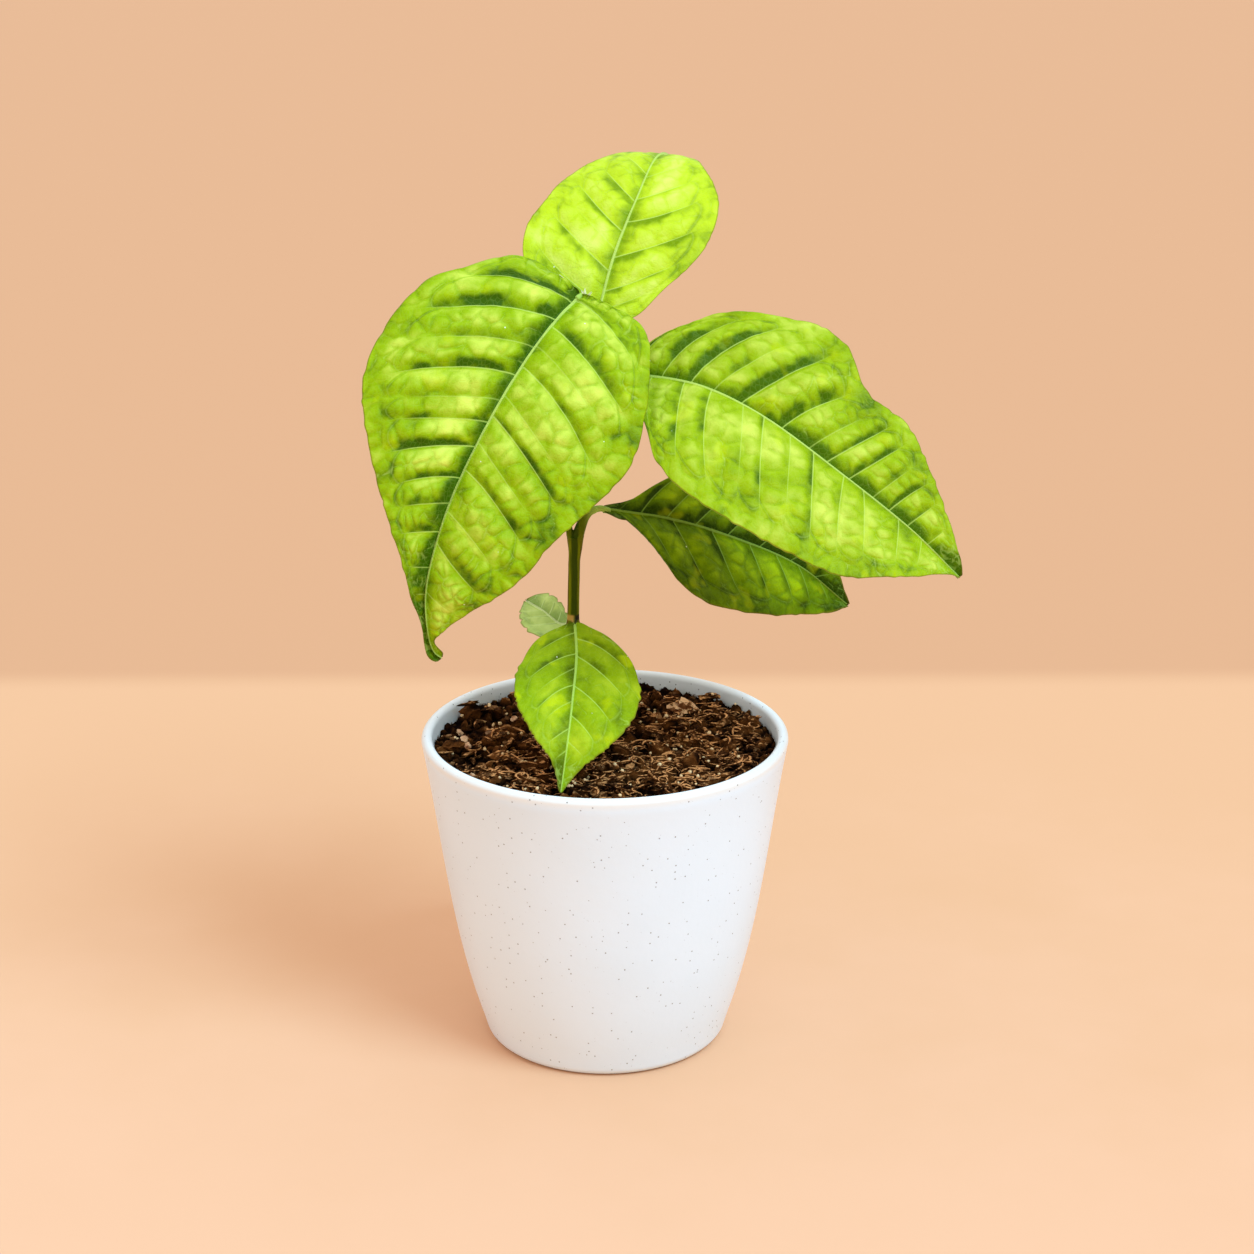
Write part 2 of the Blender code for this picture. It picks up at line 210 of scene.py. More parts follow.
def add_piece(name, mesh, finish, smooth_angle=None):
    """Link a mesh as a named piece with its finish, smooth or with sharp edges past an angle."""
    thing = bpy.data.objects.new(name, mesh)
    bpy.context.scene.collection.objects.link(thing)
    mesh.materials.clear()
    mesh.materials.append(finish.material)
    mesh.shade_smooth()
    if smooth_angle:
        mesh.set_sharp_from_angle(angle=math.radians(smooth_angle))
    return thing


def mesh_from(bm, name):
    mesh = bpy.data.meshes.new(name)
    bm.to_mesh(mesh)
    bm.free()
    return mesh


floor_finish = Finish("floor_peach", 0.9, 0.1)
behind = floor_finish.place().parts()[1]
floor_cloud = floor_finish.cloud(floor_finish.place(), *FLOOR_CLOUD) - 0.5
floor_fall = (behind + floor_cloud * FLOOR_CLOUDING).rise(*FLOOR_FALL)
floor_tone = floor_finish.blend(floor_fall, FLOOR_NEAR, FLOOR_MIDDLE)
floor_finish.set("Base Color", floor_finish.blend(behind.rise(*FLOOR_TURN), floor_tone, FLOOR_FAR))
bm = bmesh.new()
bmesh.ops.create_grid(bm, x_segments=8, y_segments=8, size=FLOOR_SIZE)
floor = add_piece("floor", mesh_from(bm, "floor"), floor_finish)

world = bpy.data.worlds.new("sky")
bpy.context.scene.world = world
sky = Pattern(world, "Background")
sky.set("Color", SKY)
toward_top = sky.place("Generated").parts()[2]
sky.set("Strength", SKY_LEVEL + toward_top.rise(*SKY_RISE) * (SKY_TOP - SKY_LEVEL))
bpy.context.scene.view_settings.view_transform = "Standard"
lamp = bpy.data.lights.new("key_lamp", "SUN")
lamp.angle = math.radians(KEY_SPREAD)
lamp.energy = KEY_POWER
lamp.color = KEY_COLOUR
holder = bpy.data.objects.new("key_lamp", lamp)
holder.rotation_euler = Vector(KEY_FROM).to_track_quat("Z", "Y").to_euler()
bpy.context.scene.collection.objects.link(holder)


# Pot. A tapered cover pot of white glazed plastic, moulded in one piece with a rolled lip; fine
# grey and brown specks lie in the white, and the wall is very slightly uneven.
POT_HEIGHT = 88.1
POT_RIM_RADIUS = 50.2
POT_BASE_RADIUS = 32.5
POT_BOW = 2.0
POT_BOW_LOW = 0.86
POT_FOOT_ROUND = 3.2
POT_INNER_ROUND = 3.0
POT_WALL = 2.6
POT_LIP = 3.0
POT_FLOOR = 3.5
POT_SIDES = 168
POT_WHITE = (0.83, 0.905, 0.955)
POT_SHADE = (0.795, 0.875, 0.925)
POT_LIP_PAINTED_TINT = (0.885, 0.855, 0.80)
POT_LIP_PAINTED_TINT_RISE = (84.6, 87.0)       # levels over which the wall takes a painted warm tint that cancels the cool light on the lip
# the inside of the wall is painted lighter and warmer than the outside, against the shade it lies in
POT_INSIDE_PAINTED_LIGHT = (0.97, 0.96, 0.94)
POT_STAIN = (0.20, 0.10, 0.05)
SPECK_GREY = (0.20, 0.16, 0.12)
SOIL_LINE = 83.4                   # level that soil has marked the inside of the wall up to
STAIN_CLOUD = (300.0, 4.0, 0.75)   # scale, detail and roughness of the stain's ragged edge
STAIN_REACH = 6.0
SPECK_CELL = 2.1                   # one speck in each cell this size, most of them shown
SPECK_SIZE = 0.27
SPECK_SHOWN = (0.20, 0.25)
FINE_SPECK_CELL = 1.3
FINE_SPECK_SIZE = (0.10, 0.05)     # as shares of a cell
FINE_SPECK_SHOWN = (0.68, 0.73)


def wall_radius(z):
    share = z / POT_HEIGHT
    taper = POT_BASE_RADIUS + (POT_RIM_RADIUS - POT_BASE_RADIUS) * share
    return taper + POT_BOW * 4 * share * (1 - share) * (1 + POT_BOW_LOW * (1 - 2 * share))


def inner_radius(z):
    return wall_radius(z) - POT_WALL


def quarter_turn(centre_radius, centre_height, radius, angles):
    return [(centre_radius + radius * math.cos(math.radians(a)),
             centre_height + radius * math.sin(math.radians(a))) for a in angles]


lip = POT_LIP / 2
foot_centre = wall_radius(POT_FOOT_ROUND) - POT_FOOT_ROUND
corner_centre = inner_radius(POT_FLOOR + POT_INNER_ROUND) - POT_INNER_ROUND
profile = [(0, 0), (foot_centre * 0.5, 0)]
profile += quarter_turn(foot_centre, POT_FOOT_ROUND, POT_FOOT_ROUND, np.linspace(-90, -12, 9))
profile += [(wall_radius(z), z) for z in np.linspace(6, POT_HEIGHT - lip, 26)]
profile += quarter_turn(wall_radius(POT_HEIGHT - lip) - lip, POT_HEIGHT - lip, lip, range(15, 181, 15))
profile += [(inner_radius(z), z) for z in np.linspace(80, 14, 12)]
profile += quarter_turn(corner_centre, POT_FLOOR + POT_INNER_ROUND, POT_INNER_ROUND,
                        np.linspace(-12, -90, 5))
profile += [(0, POT_FLOOR)]
bm = bmesh.new()
ring = [bm.verts.new((r * MM, 0, z * MM)) for r, z in profile]
sides = [bm.edges.new(pair) for pair in zip(ring[:-1], ring[1:])]
bmesh.ops.spin(bm, geom=ring + sides, cent=(0, 0, 0), axis=(0, 0, 1), angle=math.tau,
               steps=POT_SIDES, use_merge=True)
bmesh.ops.remove_doubles(bm, verts=bm.verts, dist=0.01 * MM)
bmesh.ops.recalc_face_normals(bm, faces=bm.faces)

pot_finish = Finish("pot_white", 0.3, 0.35)
pot_place = pot_finish.place()
uneven = pot_finish.cloud(pot_place, 22.0, 2.0)
specks = pot_finish.cells(pot_place, 1 / (SPECK_CELL * MM))
speck_kind = specks.other(1).parts()[0]
speck_size = SPECK_SIZE / SPECK_CELL
speck = specks.rise(speck_size, speck_size * 0.55) * speck_kind.rise(*SPECK_SHOWN)
fine_specks = pot_finish.cells(pot_place, 1 / (FINE_SPECK_CELL * MM))
fine_kind = fine_specks.other(1).parts()[1]
speck = speck.larger(fine_specks.rise(*FINE_SPECK_SIZE) * fine_kind.rise(*FINE_SPECK_SHOWN) * 0.6)
pot_x, pot_y, pot_z = (part / MM for part in pot_place.parts())
from_axis = (pot_x * pot_x + pot_y * pot_y) ** 0.5
inside = (wall_radius(pot_z) - from_axis).rise(0.8, 1.9)
ragged = (pot_finish.cloud(pot_place, *STAIN_CLOUD) - 0.5) * STAIN_REACH
soiled = (SOIL_LINE - pot_z + ragged).rise(-0.4, 0.7)
glaze = pot_finish.blend(uneven.rise(0.35, 0.75), POT_WHITE, POT_SHADE)
# Painted light: the lip is tinted warmer so that the cool light falling on its top does not show blue.
glaze = pot_finish.blend(pot_z.rise(*POT_LIP_PAINTED_TINT_RISE), glaze, POT_LIP_PAINTED_TINT)
# Painted light: the inner wall takes a lighter, warmer white than the outside, save where soil stains it.
glaze = pot_finish.blend(inside, glaze, pot_finish.blend(soiled, POT_INSIDE_PAINTED_LIGHT, POT_STAIN))
pot_finish.set("Base Color", pot_finish.blend(speck * 0.75, glaze, SPECK_GREY))
pot_finish.set("Roughness", 0.28 + pot_finish.cloud(pot_place, 180.0, 3.0) * 0.16)
pot_finish.relief(uneven * 1.2 + pot_finish.cloud(pot_place, 420.0, 2.0) * 0.10 - speck * 0.12, 0.5)
pot = add_piece("pot_body", mesh_from(bm, "pot_body"), pot_finish, 60)
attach(pot, "root")
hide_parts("pot")


# Soil. A damp mix of coir and peat heaped almost to the lip: a crumbly bed, with clods, shredded
# fibres, chips of bark, tan pebbles and cream grains of perlite lying on it.
SOIL_EDGE = 84.2
SOIL_CROWN = 85.3
SOIL_LUMP = 0.9
SOIL_LUMP_SIZE = 9.0
SOIL_GAP = 0.5
SOIL_PAINTED_SHADE_LEVELS = (83.5, 85.5)        # levels below which the soil is painted dark as shade in its hollows
STEM_FOOT = (-8.8, 0.4)
SEAT_LEVEL = 85.0
SEAT_RADIUS = 5.0
BED_CELLS = 150
BED_LOWER = (70, 50, 30, 14, 5)    # levels that the buried part of the bed passes through
BED_COLOURS = ((0.006, 0.0015, 0.0003), (0.135, 0.041, 0.008), (0.60, 0.27, 0.085))
CRUMBS = ((4.4, 3.1, 7.0), (1.6, 1.15, 1.0))                  # height, width and seed of two sizes
CRUMB_SINK = 2.0
CLODS = 320
CLOD_RADII = (0.9, 3.4)
SLIVERS = 230
SLIVER_RADII = (1.3, 3.8)
SLIVER_COLOURS = ((0.02, 0.006, 0.001), (0.15, 0.046, 0.009), (0.74, 0.33, 0.115))
FIBRES = 820
FIBRE_LENGTHS = (3.5, 10.0)
FIBRE_RADII = (0.26, 0.62)
FIBRE_CURL = 1.5
FIBRE_ARCH = (-0.1, 0.30)          # rise of a fibre's middle, as a share of its length
FIBRE_FLATNESS = 0.6
FIBRE_LIFT = 0.2
FIBRE_COLOURS = ((0.045, 0.012, 0.002), (0.16, 0.048, 0.010), (0.84, 0.36, 0.125))
CHIPS = 160
CHIP_RADII = (0.5, 1.5)
CHIP_COLOURS = ((0.06, 0.022, 0.007), (0.30, 0.13, 0.045), (0.72, 0.42, 0.19))
GRAINS = 200
GRAIN_RADII = (0.38, 0.68)
GRAIN_COLOURS = ((0.95, 0.56, 0.25), (1.0, 0.72, 0.38))
PEBBLES = 6
PEBBLE_RADII = (0.6, 1.1)
PEBBLE_SIDE = -20                  # small pebbles lie left of this
PEBBLE_COLOURS = ((0.50, 0.21, 0.085), (0.88, 0.52, 0.27))
LARGE_PEBBLES = ((-38.2, -3.4), (-37.0, -8.0), (-31.6, 6.6))
LARGE_PEBBLE_RADII = (1.0, 1.4)
TIP_SPOT = (-11.5, -40.5)          # where the front leaf's tip comes down to the soil
TIP_CLEAR = 2.0
STEM_CLEAR = 3.0
LUMP_SPOT = (22.2, 20.3)
LUMP_RADIUS = 3.3
LUMP_COLOURS = ((0.17, 0.055, 0.015), (0.55, 0.23, 0.085), (0.90, 0.50, 0.24))
dice = np.random.default_rng(11)


def soil_level(x, y):
    """Height of the soil at a place: a low crown, lumps and crumbs, and a seat for the stem."""
    reach = math.hypot(x, y) / inner_radius(SOIL_EDGE)
    level = SOIL_EDGE + (SOIL_CROWN - SOIL_EDGE) * (1 - reach ** 2)
    level += SOIL_LUMP * noise.noise(Vector((x, y, 3.0)) / SOIL_LUMP_SIZE)
    away = math.hypot(x - STEM_FOOT[0], y - STEM_FOOT[1])
    share = min(max((away - SEAT_RADIUS) / SEAT_RADIUS, 0), 1)
    return SEAT_LEVEL + (level - SEAT_LEVEL) * share


def crumbs(x, y):
    """Height of the rough crumbs on the bed, sunk so that what is scattered lies above them."""
    rough = (height * abs(noise.noise(Vector((x, y, seed)) / width)) for height, width, seed in CRUMBS)
    return sum(rough) - CRUMB_SINK


edge = inner_radius(SOIL_EDGE) - SOIL_GAP
bm = bmesh.new()
bmesh.ops.create_grid(bm, x_segments=BED_CELLS, y_segments=BED_CELLS, size=0.5)
for vert in bm.verts:
    u, v = vert.co.x * 2, vert.co.y * 2
    x, y = u * math.sqrt(1 - v * v / 2) * edge, v * math.sqrt(1 - u * u / 2) * edge
    vert.co = Vector((x, y, soil_level(x, y) + crumbs(x, y))) * MM
rim = [e for e in bm.edges if e.is_boundary]
for level in BED_LOWER:
    grown = bmesh.ops.extrude_edge_only(bm, edges=rim)["geom"]
    rim = [g for g in grown if isinstance(g, bmesh.types.BMEdge)]
    for vert in {v for e in rim for v in e.verts}:
        flat = Vector((vert.co.x, vert.co.y)).normalized() * (inner_radius(level) - SOIL_GAP) * MM
        vert.co = (flat.x, flat.y, level * MM)
bmesh.ops.holes_fill(bm, edges=rim)
bmesh.ops.recalc_face_normals(bm, faces=bm.faces)


def soil_finish(name, colours, share_of_light, roughness=0.95, painted_top_light=0.10):
    """Damp brown matter, all dull: painted shade turns it black in the hollows, with lighter strands and
    painted light on the upper sides.
    """
    dark, middle, light = colours
    finish = Finish(name, roughness, 0.04)
    place = finish.place()
    grain = finish.cloud(place, 900.0, 4.0, 0.65)
    patch = finish.cloud(place, 190.0, 3.0, 0.6)
    colour = finish.blend(patch.rise(0.34, 0.60), dark, middle)
    strands = finish.cloud(finish.stretched(place, (700.0, 2600.0, 1500.0)), 1.0, 2.0)
    upward = finish.node("NewGeometry", {}, {}, "Normal").parts()[2]
    # Painted light: faces that point up are drawn lighter, a painted highlight added to the real pale patches
    # and strands.
    pale_and_top_lit = patch * 0.5 + grain * 0.5 + strands * 0.25 + (upward.rise(-0.1, 0.9) - 0.6) * painted_top_light
    colour = finish.blend(pale_and_top_lit.rise(0.74 - share_of_light, 0.86 - share_of_light), colour, light)
    # Painted shade: the lower a piece of soil lies, the nearer it is drawn to the dark colour, as shade in
    # the hollows.
    clear_of_painted_shade = (place.parts()[2] / MM).rise(*SOIL_PAINTED_SHADE_LEVELS)
    finish.set("Base Color", finish.blend(clear_of_painted_shade, dark, colour))
    finish.relief(grain + strands * 0.8, 0.5)
    return finish


bed = add_piece("soil_bed", mesh_from(bm, "soil_bed"), soil_finish("soil_brown", BED_COLOURS, 0.02))
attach(bed, "root")
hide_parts("soil")

pile = [bed]


def soil_top(x, y):
    """Height of the bed, or of whatever lies on it, at a place."""
    state = bpy.context.evaluated_depsgraph_get()
    found = [thing.ray_cast(Vector((x, y, 100)) * MM, (0, 0, -1), depsgraph=state) for thing in pile]
    return max(hit[1].z for hit in found if hit[0]) / MM


def soil_spot(spare=1.0):
    """A random place on the bed, clear of the wall, the stem and the leaf tip, and its height."""
    while True:
        x, y = dice.uniform(-edge, edge, 2)
        from_stem = math.hypot(x - STEM_FOOT[0], y - STEM_FOOT[1])
        from_tip = math.hypot(x - TIP_SPOT[0], y - TIP_SPOT[1])
        clear = from_stem > STEM_CLEAR and from_tip > TIP_CLEAR + spare
        if math.hypot(x, y) < edge - spare and clear:
            return x, y, soil_top(x, y)


class Heap:
    """Gathers many small shapes into one mesh, a batch at a time, because that is quicker."""

    def __init__(self):
        self.whole, self.batch = bmesh.new(), bmesh.new()

    def room(self):
        if len(self.batch.verts) > 1200:
            self.pour()
        return self.batch

    def pour(self):
        mesh = mesh_from(self.batch, "batch")
        self.whole.from_mesh(mesh)
        bpy.data.meshes.remove(mesh)
        self.batch = bmesh.new()
        return self.whole


def scatter(name, count, radii, finish, flat, jitter, sink, rounds=2, smooth_angle=None, spots=soil_spot,
            narrow=(0.55, 1.0)):
    """Lumps of one kind in one mesh, each turned, flattened and misshapen in its own way."""
    heap = Heap()
    for _ in range(count):
        bm = heap.room()
        radius = radii[0] + (radii[1] - radii[0]) * dice.random() ** 2.2
        x, y, z = spots(radius)
        squeeze = Matrix.Diagonal((1, dice.uniform(*narrow), dice.uniform(*flat), 1))
        turn = Matrix.Rotation(dice.uniform(0, math.tau), 4, "Z") @ Matrix.Rotation(
            dice.normal(0, 0.5), 4, "X")
        seat = Matrix.Translation(Vector((x, y, z + radius * sink)) * MM)
        lump = bmesh.ops.create_icosphere(bm, subdivisions=rounds, radius=radius * MM)["verts"]
        seed = Vector(dice.uniform(0, 99, 3))
        for vert in lump:
            ray = vert.co.normalized()
            vert.co *= 1 + jitter * (noise.noise(ray * 1.4 + seed) + 0.5 * noise.noise(ray * 3.4 + seed))
        bmesh.ops.transform(bm, verts=lump, matrix=seat @ turn @ squeeze)
    piece = add_piece(name, mesh_from(heap.pour(), name), finish, smooth_angle)
    pile.append(piece)
    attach(piece, "root")


scatter("soil_clods", CLODS, CLOD_RADII, soil_finish("clod_brown", BED_COLOURS, 0.02),
        flat=(0.5, 0.9), jitter=0.75, sink=0.1, smooth_angle=25)
scatter("bark_slivers", SLIVERS, SLIVER_RADII, soil_finish("sliver_brown", SLIVER_COLOURS, 0.03, painted_top_light=0.3),
        flat=(0.10, 0.22), jitter=0.6, sink=0.3, smooth_angle=30, narrow=(0.18, 0.45))
scatter("bark_chips", CHIPS, CHIP_RADII, soil_finish("chip_tan", CHIP_COLOURS, 0.06),
        flat=(0.2, 0.5), jitter=0.8, sink=0.35, rounds=1, smooth_angle=20)
scatter("tan_lump", 1, (LUMP_RADIUS, LUMP_RADIUS), soil_finish("lump_tan", LUMP_COLOURS, 0.16, painted_top_light=0.3),
        flat=(0.6, 0.7), jitter=0.9, sink=0.2, rounds=3, smooth_angle=25,
        spots=lambda radius: (*LUMP_SPOT, soil_level(*LUMP_SPOT) + 1.0))


def front_spot(spare):
    """Fibres lie thickest on the front and right of the bed."""
    while True:
        x, y, z = soil_spot(spare)
        if dice.random() < 0.45 + (x - 1.5 * y) / 90:
            return x, y, z


heap = Heap()
for _ in range(FIBRES):
    bm = heap.room()
    length = FIBRE_LENGTHS[0] + (FIBRE_LENGTHS[1] - FIBRE_LENGTHS[0]) * dice.random() ** 2
    thick = dice.uniform(*FIBRE_RADII)
    x, y, z = front_spot(1.0 + length * 0.35)
    heading, curl, arch = dice.uniform(0, math.tau), dice.normal(0, FIBRE_CURL), dice.uniform(*FIBRE_ARCH)
    strand = bmesh.ops.create_grid(bm, x_segments=4, y_segments=8, size=0.5)["verts"]
    for vert in strand:
        girth, share = (vert.co.x + 0.5) * math.tau, vert.co.y
        bend = heading + curl * share * 2
        radius = thick * max(1 - (2 * share) ** 4, 0)
        side = radius * math.cos(girth)
        vert.co = Vector((
            x + share * length * math.cos(bend) - side * math.sin(bend),
            y + share * length * math.sin(bend) + side * math.cos(bend),
            z + FIBRE_LIFT + arch * length * (0.25 - share ** 2) * 2
            + radius * FIBRE_FLATNESS * math.sin(girth))) * MM
bm = heap.pour()
bmesh.ops.remove_doubles(bm, verts=bm.verts, dist=0.003 * MM)
bmesh.ops.recalc_face_normals(bm, faces=bm.faces)
fibres = add_piece("coir_fibres", mesh_from(bm, "coir_fibres"),
                   soil_finish("fibre_tan", FIBRE_COLOURS, 0.045, 0.8, painted_top_light=0.36))
pile.append(fibres)
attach(fibres, "root")

grain_finish = Finish("perlite_cream", 0.8, 0.1)
grain_cloud = grain_finish.cloud(grain_finish.place(), 1500.0)
grain_finish.set("Base Color", grain_finish.blend(grain_cloud.rise(0.3, 0.7), *GRAIN_COLOURS))
grain_finish.relief(grain_cloud, 0.1)
scatter("perlite_grains", GRAINS, GRAIN_RADII, grain_finish, flat=(0.8, 1.0), jitter=0.35, sink=0.6,
        rounds=1, narrow=(0.75, 1.0))

pebble_finish = Finish("pebble_tan", 0.7)
pebble_cloud = pebble_finish.cloud(pebble_finish.place(), 600.0, 3.0)
pebble_finish.set("Base Color", pebble_finish.blend(pebble_cloud.rise(0.35, 0.65), *PEBBLE_COLOURS))
pebble_finish.relief(pebble_cloud, 0.2)


def left_spot(radius):
    """Pebbles gather at the left of the pot."""
    while True:
        x, y, z = soil_spot(radius)
        if x < PEBBLE_SIDE:
            return x, y, z


large_spots = iter(LARGE_PEBBLES)


def large_spot(radius):
    """The next of the three places where a large pebble lies."""
    x, y = next(large_spots)
    return x, y, soil_top(x, y)


scatter("large_pebbles", len(LARGE_PEBBLES), LARGE_PEBBLE_RADII, pebble_finish, flat=(0.7, 0.9), jitter=0.7,
        sink=0.3, smooth_angle=30, spots=large_spot)
scatter("tan_pebbles", PEBBLES, PEBBLE_RADII, pebble_finish, flat=(0.6, 0.9), jitter=0.8, sink=0.35,
        smooth_angle=30, spots=left_spot)


# Stem. One green shoot that leaves the soil with a slight flare, forks near the middle and bears
# the leaf stalks; its young bark is ribbed lengthwise and dark green, with a painted highlight
# that makes its sides olive as seen from the front, broken up by streaks.
STEM_NODE = (-8.5, 0.0, 119.5)
STEM_FORK = (-7.9, 0.0, 143.6)
STEM_RADIUS = 1.55
FLARE_RADIUS = 2.9
FLARE_HEIGHT = 5.0
FORK_RADIUS = 2.05
FORK_SWELL = 6.0
LEADER_PATH = ((-8.6, 0, 139), (-9.2, 0.0, 143.9), (-9.9, 0.3, 152), (-9.3, 0.9, 168),
               (-7.0, 0.6, 188), (-5.6, 0.2, 200), (-5.0, 0.0, 207.3))
SHOOT_PATH = ((-8.4, 0, 132), (-7.7, 0, 139), (-6.9, 0.0, 143.9), (-5.8, 0.1, 147.4),
              (-4.3, 0.3, 149.9), (-2.2, 0.9, 150.8))
SHOOT_RADII = ((0, 0.4, 0.65, 1), (1.25, 1.6, 1.5, 1.0))      # shares of the path, radii there
STALKS = (                         # path from the limb to the foot of the blade, radii at both ends
    (((-5.3, 0.1, 205.0), (-5.3, -1.5, 207.8), (-6.0, -4.0, 209.3), (-7.0, -5.6, 208.9)), 1.0, 0.75),
    (((-5.9, 0.2, 197.2), (-4.6, 1.2, 198.8), (-2.6, 2.4, 200.3), (-1.6, 4.0, 202.6)), 1.1, 0.8),
    (((-7.3, 0.7, 185.0), (-5.6, -0.2, 186.8), (-2.0, -2.0, 187.9), (3.5, -4.4, 188.4)), 1.2, 0.8),
    (((-3.4, 0.6, 150.5), (-1.0, 1.6, 150.7), (1.5, 2.6, 149.7)), 0.95, 0.8),
    (((-8.6, 0.2, 119.0), (-8.3, -1.8, 120.2), (-8.0, -3.4, 119.4)), 0.9, 0.6),
    (((-8.5, 0.2, 117.6), (-8.9, 1.8, 118.2), (-9.8, 4.0, 117.4)), 0.85, 0.5),
)
LIMB_STEPS = 14                    # rings on a leaf stalk
BARK_VOXEL = 0.23
RIBS = 5                           # ribs round the lower stem
RIB_HEIGHT = 0.035
KNOB_HEIGHT = 0.05
SCAR_RISE = 1.5                    # height of the leaf scar's middle above the node
BARK_DARK = (0.040, 0.062, 0.0)
BARK_OLIVE_HIGHLIGHT = (0.19, 0.215, 0.0)
BARK_RED = (0.115, 0.050, 0.006)
BARK_YOUNG = (0.42, 0.60, 0.10)
BARK_SCAR = (0.50, 0.30, 0.06)
BARK_BLACK = (0.02, 0.02, 0.008)


def smooth_path(points, count):
    """Evenly spaced points along a centripetal curve that passes through the given ones."""
    given = np.array(points, dtype=float)
    given = np.vstack([2 * given[0] - given[1], given, 2 * given[-1] - given[-2]])
    knots = np.concatenate([[0], np.cumsum(np.linalg.norm(np.diff(given, axis=0), axis=1) ** 0.5)])
    fine = []
    for i in range(1, len(given) - 2):
        a, b, c, d = given[i - 1:i + 3]
        ka, kb, kc, kd = knots[i - 1:i + 3]
        for t in np.linspace(kb, kc, 25)[:-1]:
            ab = (kb - t) / (kb - ka) * a + (t - ka) / (kb - ka) * b
            bc = (kc - t) / (kc - kb) * b + (t - kb) / (kc - kb) * c
            cd = (kd - t) / (kd - kc) * c + (t - kc) / (kd - kc) * d
            abc = (kc - t) / (kc - ka) * ab + (t - ka) / (kc - ka) * bc
            bcd = (kd - t) / (kd - kb) * bc + (t - kb) / (kd - kb) * cd
            fine.append((kc - t) / (kc - kb) * abc + (t - kb) / (kc - kb) * bcd)
    fine.append(given[-2])
    fine = np.array(fine)
    run = np.concatenate([[0], np.cumsum(np.linalg.norm(np.diff(fine, axis=0), axis=1))])
    steps = np.linspace(0, run[-1], count)
    return np.stack([np.interp(steps, run, fine[:, k]) for k in range(fine.shape[1])], axis=1)


def stem_radius(z):
    foot = max(1 - (z - SEAT_LEVEL) / FLARE_HEIGHT, 0) ** 2
    fork = max(1 - (STEM_FORK[2] - z) / FORK_SWELL, 0) ** 1.5
    taper = 0.2 * (1 - (z - SEAT_LEVEL) / (STEM_FORK[2] - SEAT_LEVEL))
    swell = 0.35 * math.exp(-((z - STEM_NODE[2] + 1.5) / 1.6) ** 2)
    return (STEM_RADIUS + taper + swell + (FLARE_RADIUS - STEM_RADIUS) * foot
            + (FORK_RADIUS - STEM_RADIUS) * fork)


def add_limb(bm, path, radii, around=20):
    """A closed round limb: a grid wrapped round its path, with its ends drawn shut."""
    path = np.array(path, dtype=float)
    ahead = np.gradient(path, axis=0)
    ahead /= np.linalg.norm(ahead, axis=1)[:, None]
    rows = len(path) + 1
    limb = bmesh.ops.create_grid(bm, x_segments=around, y_segments=rows, size=0.5)["verts"]
    for vert in limb:
        girth = (vert.co.x + 0.5) * math.tau
        row = round((vert.co.y + 0.5) * rows)
        k = min(max(row - 1, 0), len(path) - 1)
        radius = 0 if row in (0, rows) else float(radii[k])
        along = Vector(ahead[k])
        side = along.cross(Vector((0.3, 1.0, 0.2))).normalized()
        vert.co = (Vector(path[k]) + radius * (math.cos(girth) * side
                                               + math.sin(girth) * along.cross(side))) * MM


bm = bmesh.new()
trunk_path = smooth_path(((*STEM_FOOT, SEAT_LEVEL - 2.0), (*STEM_FOOT, SEAT_LEVEL + 2.8), STEM_NODE,
                          STEM_FORK), 70)
add_limb(bm, trunk_path, [stem_radius(max(p[2], SEAT_LEVEL)) for p in trunk_path], 28)
add_limb(bm, smooth_path(LEADER_PATH, 50), np.linspace(0.95, 0.8, 50))
add_limb(bm, smooth_path(SHOOT_PATH, 30), np.interp(np.linspace(0, 1, 30), *SHOOT_RADII))
for path, first, last in STALKS:
    add_limb(bm, smooth_path(path, LIMB_STEPS), np.linspace(first, last, LIMB_STEPS))
bmesh.ops.remove_doubles(bm, verts=bm.verts, dist=0.002 * MM)
bmesh.ops.recalc_face_normals(bm, faces=bm.faces)
rough = bpy.data.objects.new("stem_limbs", mesh_from(bm, "stem_limbs"))
bpy.context.scene.collection.objects.link(rough)
weld = rough.modifiers.new("weld", "REMESH")
weld.mode = "VOXEL"
weld.voxel_size = BARK_VOXEL * MM
joined = bpy.data.meshes.new_from_object(rough.evaluated_get(bpy.context.evaluated_depsgraph_get()))
bpy.data.objects.remove(rough, do_unlink=True)
bm = bmesh.new()
bm.from_mesh(joined)
for _ in range(3):
    bmesh.ops.smooth_vert(bm, verts=bm.verts, factor=0.5, use_axis_x=True, use_axis_y=True,
                          use_axis_z=True)
bm.normal_update()
axis_heights = trunk_path[:, 2]
for vert in bm.verts:
    x, y, z = vert.co / MM
    centre = np.interp(z, axis_heights, trunk_path[:, 0]), np.interp(z, axis_heights, trunk_path[:, 1])
    girth = math.atan2(y - centre[1], x - centre[0])
    rib = math.cos(RIBS * girth + 0.4 * math.sin(z / 9)) * RIB_HEIGHT if z < STEM_FORK[2] else 0
    rib += KNOB_HEIGHT * noise.noise(Vector((x / 0.5, y / 0.5, z / 4.0)))
    vert.co += vert.normal * rib * MM
bmesh.ops.recalc_face_normals(bm, faces=bm.faces)

bark = Finish("stem_green", 0.45, 0.06)
bark_place = bark.place()
across, _, upward = bark_place.parts()
stem_x, height = across / MM, upward / MM
lean = (STEM_FORK[0] - STEM_FOOT[0]) / (STEM_FORK[2] - SEAT_LEVEL)
from_axis = (stem_x - STEM_FOOT[0] - (height - SEAT_LEVEL) * lean) / STEM_RADIUS
streaks = bark.cloud(bark.stretched(bark_place, (1500.0, 1500.0, 110.0)), 1.0, 3.0, 0.6)
